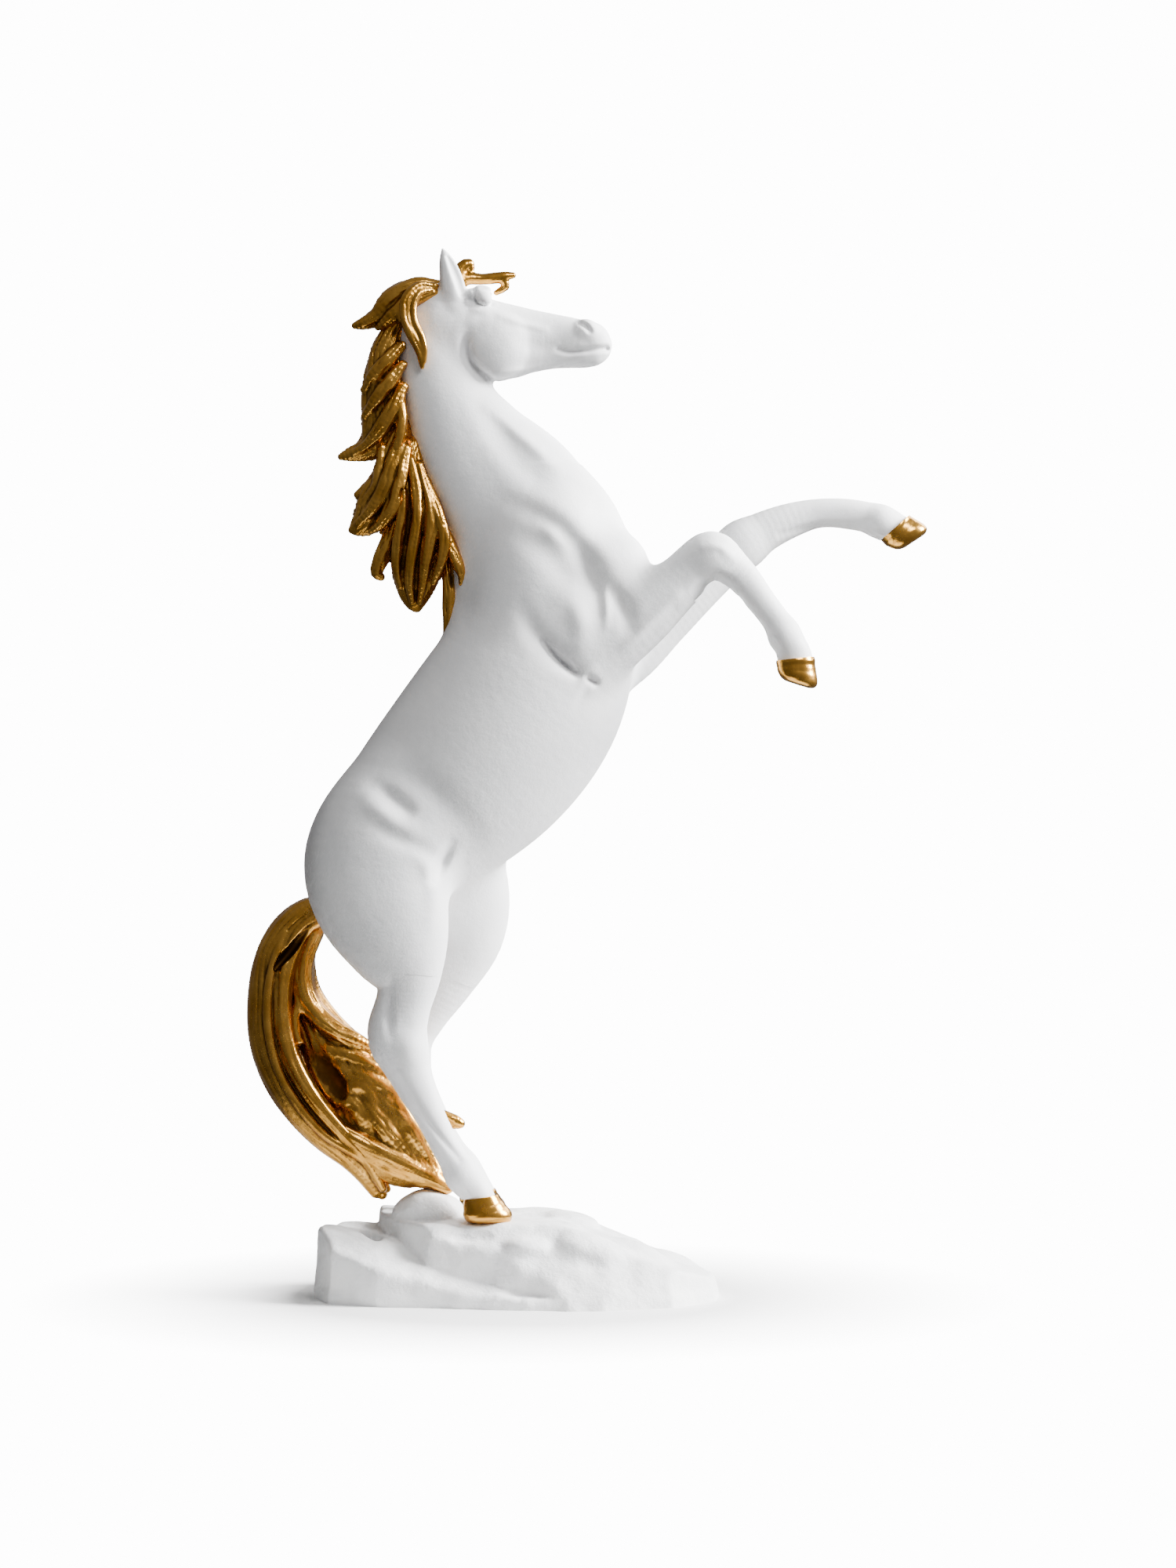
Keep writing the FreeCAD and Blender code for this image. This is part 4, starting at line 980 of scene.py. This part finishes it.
def inset(outline, by):
    """The outline drawn in by that much all round."""
    a = np.asarray(outline, float)
    d = np.roll(a, -1, axis=0) - a
    d /= np.linalg.norm(d, axis=1)[:, None]
    side = np.column_stack([-d[:, 1], d[:, 0]])
    out = []
    for i in range(len(a)):
        k = by / (1 + side[i] @ side[i - 1])
        out.append(a[i] + k * (side[i] + side[i - 1]))
    return np.array(out)


def felt_recess(mesh):
    """Lets the felt into the flat underside."""
    bm = bmesh.new()
    bm.from_mesh(mesh)
    under = [q for q in bm.faces if max(abs(v.co.z) for v in q.verts) < 1e-6]
    bmesh.ops.delete(bm, geom=under, context="FACES")
    rim = [e for e in bm.edges if e.is_boundary]
    edge = inset(ROCK, FELT_INSET) * MM
    low = [bm.verts.new((x, y, 0)) for x, y in edge]
    high = [bm.verts.new((x, y, FELT * MM)) for x, y in edge]
    for i in range(len(edge)):
        bm.faces.new((low[i - 1], low[i], high[i], high[i - 1]))
    bm.faces.new(high)
    brink = [bm.edges.get((low[i - 1], low[i])) for i in range(len(edge))]
    bmesh.ops.triangle_fill(bm, use_beauty=True, edges=rim + brink)
    bmesh.ops.recalc_face_normals(bm, faces=bm.faces)
    bm.to_mesh(mesh)
    bm.free()


def rock_parts():
    upper = RIDGE + [q for q in ROCK if q[0] > 20 or q[1] > 37]
    parts = [Block(ROCK, ROCK_TOPS + LOWER_TOPS, draft=0.03, soft=2.4)]
    parts += [Block(upper, ROCK_TOPS, draft=0.12, soft=1.6, blend=0.8)]
    parts += [Block(ROCK, FOOT_TOPS, draft=-0.02, soft=3, blend=1.5)]
    parts += [Ball((-32, -2.5, 28.6), (13, 11.5, 9.8), blend=0.6)]                        # the mound
    parts += [Ball((-19, -28.5, 26.3), (12, 3.6, 3.6), tilt=-6, blend=1.5, cut=True)]
    parts += [Ball((-52.5, -8, 21), (3, 9, 5), yaw=22, blend=2.5, cut=True)]
    parts += [Ball(centre, radii, tilt=tilt, blend=blend) for centre, radii, tilt, blend in ROCK_BUMPS]
    parts += [Ball(centre, radii, blend=5, cut=True) for centre, radii in BACK_HOLLOWS]
    parts += [Roughen(15, 0.9, 11, (1, 1, 1.3)), Roughen(6.5, 0.42, 12), Roughen(2.6, 0.12, 13)]
    return parts


# ---------------------------------------------------------------- hooves

HOOF_SOLES = {
    "right_hind": ((-10.4, -17, 28.0), (0, 0, -1), ((5.5, 5.8), (9.2, 8))),
    "left_hind": ((-13.2, 17, 28.0), (0, 0, -1), ((5.5, 5.8), (9.0, 8))),
    "right_fore": ((99.8, -16, 219.4), (-0.3, 0, -0.95), ((6.6, 6.0), (7.5, 7.2))),
    "left_fore": ((144.0, 18, 272.2), (0.55, 0, -0.83), ((6.6, 6.0), (7.4, 7.2))),
}
SOLE_EDGE = 2.2      # how round the edge of the sole is


def hoof_parts(top, sole, sole_way, size):
    """From above the coronet, where the joint cuts it off, to the flat sole, with a cleft at the heel and a
    low band round the coronet. size is half the depth and width at the coronet, and then at the sole."""
    top, sole = np.array(top, float), np.array(sole, float)
    way = np.array(sole_way, float) / np.linalg.norm(sole_way)
    axis = (sole - top) / np.linalg.norm(sole - top)
    length = np.linalg.norm(sole - top)
    (d0, w0), (d1, w1) = size

    def at(s):
        k = s / length
        return (*(top + axis * s), d0 + (d1 - d0) * k, w0 + (w1 - w0) * k)

    toe = np.cross((0, 1, 0), way)
    toe = toe if toe[0] > 0 else -toe
    wall = Sweep([at(-5), at(0), at(length * 0.5), at(length + 4)], power=2.3, step=3)
    ground = Floor(sole, way)
    parts = [Both(wall, ground, SOLE_EDGE * 2)]
    heel = sole - toe * d1 * 0.98
    cleft = [(*(heel - way * up), deep, wide)
             for up, deep, wide in ((1, 1.3, 1.1), (5, 1.2, 0.9), (9, 0.5, 0.5))]
    parts += [Sweep(cleft, blend=1.2, cut=True, step=1.5)]
    parts += [Band(top + axis * 0.8, axis, 1.1, 0.3)]
    return parts


class Floor:
    """Everything behind a plane that faces way."""

    def __init__(self, point, way):
        self.point, self.way = np.asarray(point, float), np.asarray(way, float)

    def __call__(self, p):
        return (p - self.point) @ self.way


class Both:
    """Where two solids overlap, with a rounded edge."""

    def __init__(self, one, other, edge):
        self.one, self.other, self.edge = one, other, edge
        self.low, self.high, self.blend, self.cut = one.low, one.high, 0.0, False

    def __call__(self, p):
        return -joined(-self.one(p), -self.other(p), self.edge)


class Band(Stroke):
    """Raises the surface in a band round an axis."""

    def __init__(self, point, axis, width, height):
        self.point, self.axis, self.width, self.height = point, axis, width, height
        self.low, self.high = point - 14, point + 14

    def __call__(self, p):
        s = (p - self.point) @ self.axis
        return self.height * np.exp(-(s / self.width) ** 2)


# ---------------------------------------------------------------- materials

class Nodes:
    """Short names for building one material."""

    def __init__(self, name):
        self.material = bpy.data.materials.new(name)
        self.material.use_nodes = True
        self.tree = self.material.node_tree
        self.shader = self.tree.nodes["Principled BSDF"]
        self.place = self.add("ShaderNodeTexCoord").outputs["Object"]

    def add(self, kind, **settings):
        node = self.tree.nodes.new(kind)
        for key, value in settings.items():
            setattr(node, key, value)
        return node

    def link(self, a, b):
        self.tree.links.new(a, b)

    def noise(self, scale, detail=2.0, stretch=(1, 1, 1), rough=0.5):
        spread = self.add("ShaderNodeMapping")
        spread.inputs["Scale"].default_value = stretch
        self.link(self.place, spread.inputs["Vector"])
        node = self.add("ShaderNodeTexNoise")
        node.inputs["Scale"].default_value = scale
        node.inputs["Detail"].default_value = detail
        node.inputs["Roughness"].default_value = rough
        self.link(spread.outputs[0], node.inputs["Vector"])
        return node.outputs["Fac"]

    def remap(self, value, a, b, c, d):
        node = self.add("ShaderNodeMapRange")
        for socket, number in zip(("From Min", "From Max", "To Min", "To Max"), (a, b, c, d)):
            node.inputs[socket].default_value = number
        self.link(value, node.inputs["Value"])
        return node.outputs[0]

    def mix(self, factor, one, other):
        """one and other are colours or sockets."""
        node = self.add("ShaderNodeMix", data_type="RGBA")
        self.link(factor, node.inputs["Factor"])
        for socket, colour in ((node.inputs[6], one), (node.inputs[7], other)):
            if isinstance(colour, tuple):
                socket.default_value = (*colour, 1)
            else:
                self.link(colour, socket)
        return node.outputs[2]

    def math(self, operation, a, b):
        node = self.add("ShaderNodeMath", operation=operation)
        for socket, value in zip(node.inputs, (a, b)):
            if isinstance(value, (int, float)):
                socket.default_value = value
            else:
                self.link(value, socket)
        return node.outputs[0]

    def attribute(self, name):
        return self.add("ShaderNodeAttribute", attribute_name=name).outputs["Fac"]

    def bump(self, height, strength, distance, under=None):
        node = self.add("ShaderNodeBump")
        node.inputs["Strength"].default_value = strength
        node.inputs["Distance"].default_value = distance
        self.link(height, node.inputs["Height"])
        if under is not None:
            self.link(under, node.inputs["Normal"])
        return node.outputs[0]

    def finish(self, colour, roughness, normal, **numbers):
        self.link(colour, self.shader.inputs["Base Color"])
        self.link(roughness, self.shader.inputs["Roughness"])
        self.link(normal, self.shader.inputs["Normal"])
        for key, value in numbers.items():
            self.shader.inputs[key.replace("_", " ")].default_value = value
        return self.material


def white_resin():
    """Bisque white: very slightly mottled, matt, with a powdery grain and painted shade that greys its
    creases.
    """
    n = Nodes("white_resin")
    mottle = n.remap(n.noise(45, 4), 0.35, 0.65, 0, 1)
    colour = n.mix(mottle, (0.80, 0.805, 0.815), (0.87, 0.87, 0.872))
    # painted shade: the deeper the recess, the greyer the white
    colour = n.mix(n.remap(n.attribute("cavity"), 0.15, 1.4, 0, 0.55), colour, (0.55, 0.55, 0.57))
    grain = n.bump(n.noise(1500, 3), 0.12, 0.0004)
    normal = n.bump(n.noise(260, 3), 0.12, 0.0012, grain)
    return n.finish(colour, n.remap(n.noise(300, 3), 0.3, 0.7, 0.5, 0.68), normal)


def rock_resin():
    """The same resin, coarser, with painted shade in the cracks."""
    n = Nodes("rock_resin")
    mottle = n.remap(n.noise(60, 5, rough=0.6), 0.35, 0.65, 0, 1)
    colour = n.mix(mottle, (0.76, 0.765, 0.77), (0.86, 0.86, 0.855))
    # painted shade: the deeper the crack, the greyer the resin
    colour = n.mix(n.remap(n.attribute("cavity"), 0.1, 1.2, 0, 0.6), colour, (0.5, 0.5, 0.51))
    grain = n.bump(n.noise(900, 4), 0.25, 0.0006)
    normal = n.bump(n.noise(170, 5, rough=0.6), 0.35, 0.002, grain)
    return n.finish(colour, n.remap(n.noise(240, 3), 0.3, 0.7, 0.55, 0.78), normal)


def gold_paint(name, deep):
    """Bright gold leaf paint, antiqued brown in its recesses, with painted shade there as well; deep is how
    brown they get.
    """
    n = Nodes(name)
    tone = n.remap(n.noise(120, 4), 0.3, 0.7, 0, 1)
    colour = n.mix(tone, (0.47, 0.215, 0.027), (0.68, 0.36, 0.07))
    streak = n.noise(420, 3, stretch=(1, 1, 0.35))
    # antique brown and painted shade by recess depth, plus random brown streaks
    brown = n.math("ADD", n.attribute("cavity"), n.remap(streak, 0.3, 0.75, -0.25, 0.35))
    colour = n.mix(n.remap(brown, 0.0, 0.85, 0, deep), colour, (0.095, 0.042, 0.008))
    shine = n.math("ADD", n.remap(n.noise(200, 3), 0.3, 0.7, 0.17, 0.3), n.remap(brown, 0.1, 1.0, 0, 0.28))
    fine = n.bump(streak, 0.25, 0.0006)
    normal = n.bump(n.noise(150, 2), 0.18, 0.001, fine)
    return n.finish(colour, shine, normal, Metallic=1.0)


def felt():
    n = Nodes("felt")
    colour = n.mix(n.remap(n.noise(2500, 4), 0.3, 0.7, 0, 1), (0.02, 0.022, 0.025), (0.06, 0.062, 0.068))
    normal = n.bump(n.noise(3500, 5), 0.8, 0.0005)
    return n.finish(colour, n.remap(n.noise(500, 2), 0.3, 0.7, 0.85, 1.0), normal)


def steel():
    n = Nodes("steel")
    colour = n.mix(n.remap(n.noise(350, 4), 0.3, 0.7, 0, 1), (0.5, 0.5, 0.5), (0.66, 0.66, 0.67))
    normal = n.bump(n.noise(1800, 2, stretch=(1, 1, 0.1)), 0.2, 0.0003)
    return n.finish(colour, n.remap(n.noise(700, 2), 0.3, 0.7, 0.22, 0.36), normal, Metallic=1.0)


WHITE, ROCKY = white_resin(), rock_resin()
GOLD, GOLD_HOOF = gold_paint("gold_hair", 1.0), gold_paint("gold_hoof", 0.7)

# ---------------------------------------------------------------- pieces

BODY_VOXEL, HEAD_VOXEL, LIMB_VOXEL, HOOF_VOXEL, ROCK_VOXEL = 0.9, 0.5, 0.6, 0.35, 0.95
MANE_VOXEL, TAIL_VOXEL = 0.4, 0.45

JOINTS = [away(HEAD_CUT, 40), away(HIND_RIGHT_CUT, 24), away(HIND_LEFT_CUT, 22), away(FORE_RIGHT_CUT, 18),
          away(FORE_LEFT_CUT, 18)]
sculpt("body_form", trunk_parts(), BODY_VOXEL, ["body_casting"], WHITE, planes=JOINTS)
sculpt("head_form", head_parts(), HEAD_VOXEL, ["head_casting"], WHITE,
       planes=[back(HEAD_CUT, 44)], low=(-48, -17, 310), high=(36, 17, 380))
# each limb: its CAD node, its joint, its field and the corners of the box that it is meshed in
LIMBS = {
    "right_hind": ("right_hind_leg", HIND_RIGHT_CUT, leg_parts(HIND_RIGHT), (-75, -32, 25), (5, -4, 124)),
    "left_hind": ("left_hind_leg", HIND_LEFT_CUT, leg_parts(HIND_LEFT), (-75, 4, 25), (5, 32, 122)),
    "right_fore": ("right_foreleg", FORE_RIGHT_CUT, fore_parts(FORE_RIGHT), (40, -32, 215), (115, -5, 290)),
    "left_fore": ("left_foreleg", FORE_LEFT_CUT, fore_parts(FORE_LEFT), (38, 5, 225), (150, 32, 300)),
}
for name, (node, cut, parts, low, high) in LIMBS.items():
    sculpt(name + "_limb", parts, LIMB_VOXEL, [node], WHITE,
           planes=[back(cut, 30), (*HOOF_CUTS[name], 12)], low=low, high=high)
    sole, sole_way, size = HOOF_SOLES[name]
    top, way = HOOF_CUTS[name]
    sculpt(name + "_toe", hoof_parts(top, sole, sole_way, size), HOOF_VOXEL, [name + "_hoof"],
           GOLD_HOOF, planes=[back((top, way), 14)])

HAIR = {
    "mane_crown": MANE_CROWN,
    "mane_side_curl": MANE_CURL,
    "mane_upper": MANE_UPPER,
    "mane_middle": MANE_MIDDLE,
    "mane_lower": MANE_LOWER,
    "mane_withers": MANE_WITHERS,
    "forelock": FORELOCK,
    "tail_outer": TAIL_OUTER,
    "tail_inner": TAIL_INNER,
}
for name, locks in HAIR.items():
    voxel = TAIL_VOXEL if name.startswith("tail") else MANE_VOXEL
    # the pockets also get painted shade round them
    sculpt(name + "_locks", hair_parts(name, locks), voxel, [name], GOLD, relax=2,
           pocket_shades=pockets(name))
sculpt("rock_form", rock_parts(), ROCK_VOXEL, ["rock_base"], ROCKY,
       planes=[((0, 0, 0), (0, 0, -1), 200)], low=(-78, -50, -4), high=(78, 46, 40), carve=felt_recess)

FELT_LOOK, STEEL_LOOK = felt(), steel()
for name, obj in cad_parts.items():
    hardware = name.endswith(("_rod", "_washers", "_nuts", "_pin", "_pins"))
    if hardware or name == "base_felt":
        obj.data.materials.clear()
        obj.data.materials.append(STEEL_LOOK if hardware else FELT_LOOK)

# ---------------------------------------------------------------- floor, light and camera

FLOOR_RADIUS = 3                         # metres from here on
FADE_FROM, FADE_TO = 0.08, 0.18          # where the floor begins to fade out, and where it is gone
BACKDROP = 14.0                          # strength of the white that the camera sees behind the figurine
DIM, BRIGHT = 0.13, 0.55                 # strength of the light from all round, at its least and most
BRIGHT_SIDE = (0.66, -0.1, 0.74)         # towards the brightest of it


def floor():
    """A pale disc that fades out, so no horizon shows behind the figurine."""
    bpy.ops.mesh.primitive_circle_add(vertices=96, radius=FLOOR_RADIUS, fill_type="NGON", location=(0, 0, 0))
    obj = bpy.context.object
    obj.name = "floor"
    n = Nodes("floor")
    away_from = n.add("ShaderNodeVectorMath", operation="LENGTH")
    n.link(n.place, away_from.inputs[0])
    colour = n.mix(n.noise(4, 3), (0.90, 0.90, 0.90), (0.93, 0.93, 0.93))
    n.finish(colour, n.remap(n.noise(8, 2), 0.3, 0.7, 0.75, 0.9), n.bump(n.noise(300, 2), 0.02, 0.0005))
    n.link(n.remap(away_from.outputs["Value"], FADE_FROM, FADE_TO, 1, 0), n.shader.inputs["Alpha"])
    obj.data.materials.append(n.material)


def area(name, place, aim, size, power):
    light = bpy.data.lights.new(name, "AREA")
    light.size, light.energy = size, power
    obj = bpy.data.objects.new(name, light)
    obj.location = place
    obj.rotation_euler = (Vector(aim) - Vector(place)).to_track_quat("-Z", "Y").to_euler()
    bpy.context.scene.collection.objects.link(obj)


def studio():
    """A white backdrop that only the camera sees. The light from all round is dimmer, and brightest towards
    BRIGHT_SIDE."""
    world = bpy.data.worlds.new("studio")
    world.use_nodes = True
    tree = world.node_tree
    seen = tree.nodes["Background"]
    seen.inputs["Strength"].default_value = BACKDROP
    seen.inputs["Color"].default_value = (1, 1, 1, 1)
    lit = tree.nodes.new("ShaderNodeBackground")
    where = tree.nodes.new("ShaderNodeTexCoord")
    towards = tree.nodes.new("ShaderNodeVectorMath")
    towards.operation = "DOT_PRODUCT"
    towards.inputs[1].default_value = BRIGHT_SIDE
    strength = tree.nodes.new("ShaderNodeMapRange")
    for socket, number in zip(("From Min", "From Max", "To Min", "To Max"), (-1, 1, DIM, BRIGHT)):
        strength.inputs[socket].default_value = number
    path = tree.nodes.new("ShaderNodeLightPath")
    mix = tree.nodes.new("ShaderNodeMixShader")
    tree.links.new(where.outputs["Generated"], towards.inputs[0])
    tree.links.new(towards.outputs["Value"], strength.inputs["Value"])
    tree.links.new(strength.outputs[0], lit.inputs["Strength"])
    tree.links.new(path.outputs["Is Camera Ray"], mix.inputs[0])
    tree.links.new(lit.outputs[0], mix.inputs[1])
    tree.links.new(seen.outputs[0], mix.inputs[2])
    tree.links.new(mix.outputs[0], tree.nodes["World Output"].inputs["Surface"])
    bpy.context.scene.world = world


floor()
studio()
MIDDLE = (0.025, 0, 0.184)
area("key", (1.28, -0.1, 0.85), MIDDLE, 0.6, 145)
area("fill", (0.22, -0.36, 0.62), (0, 0, 0.3), 0.2, 2.2)
area("rim", (1.1, 1.5, 1.3), MIDDLE, 1.2, 40)

camera = bpy.data.cameras.new("camera")
CAMERA_AWAY, FRAME_TALL = 1.5, 0.564
camera.sensor_fit = "VERTICAL"
camera.sensor_height = 24
camera.lens = 24 * CAMERA_AWAY / FRAME_TALL
camera.clip_start = 0.05
view = bpy.data.objects.new("camera", camera)
view.location = (0.0254, -CAMERA_AWAY, 0.184)
view.rotation_euler = (math.radians(90), 0, 0)
bpy.context.scene.collection.objects.link(view)
bpy.context.scene.camera = view

bpy.context.view_layer.update()
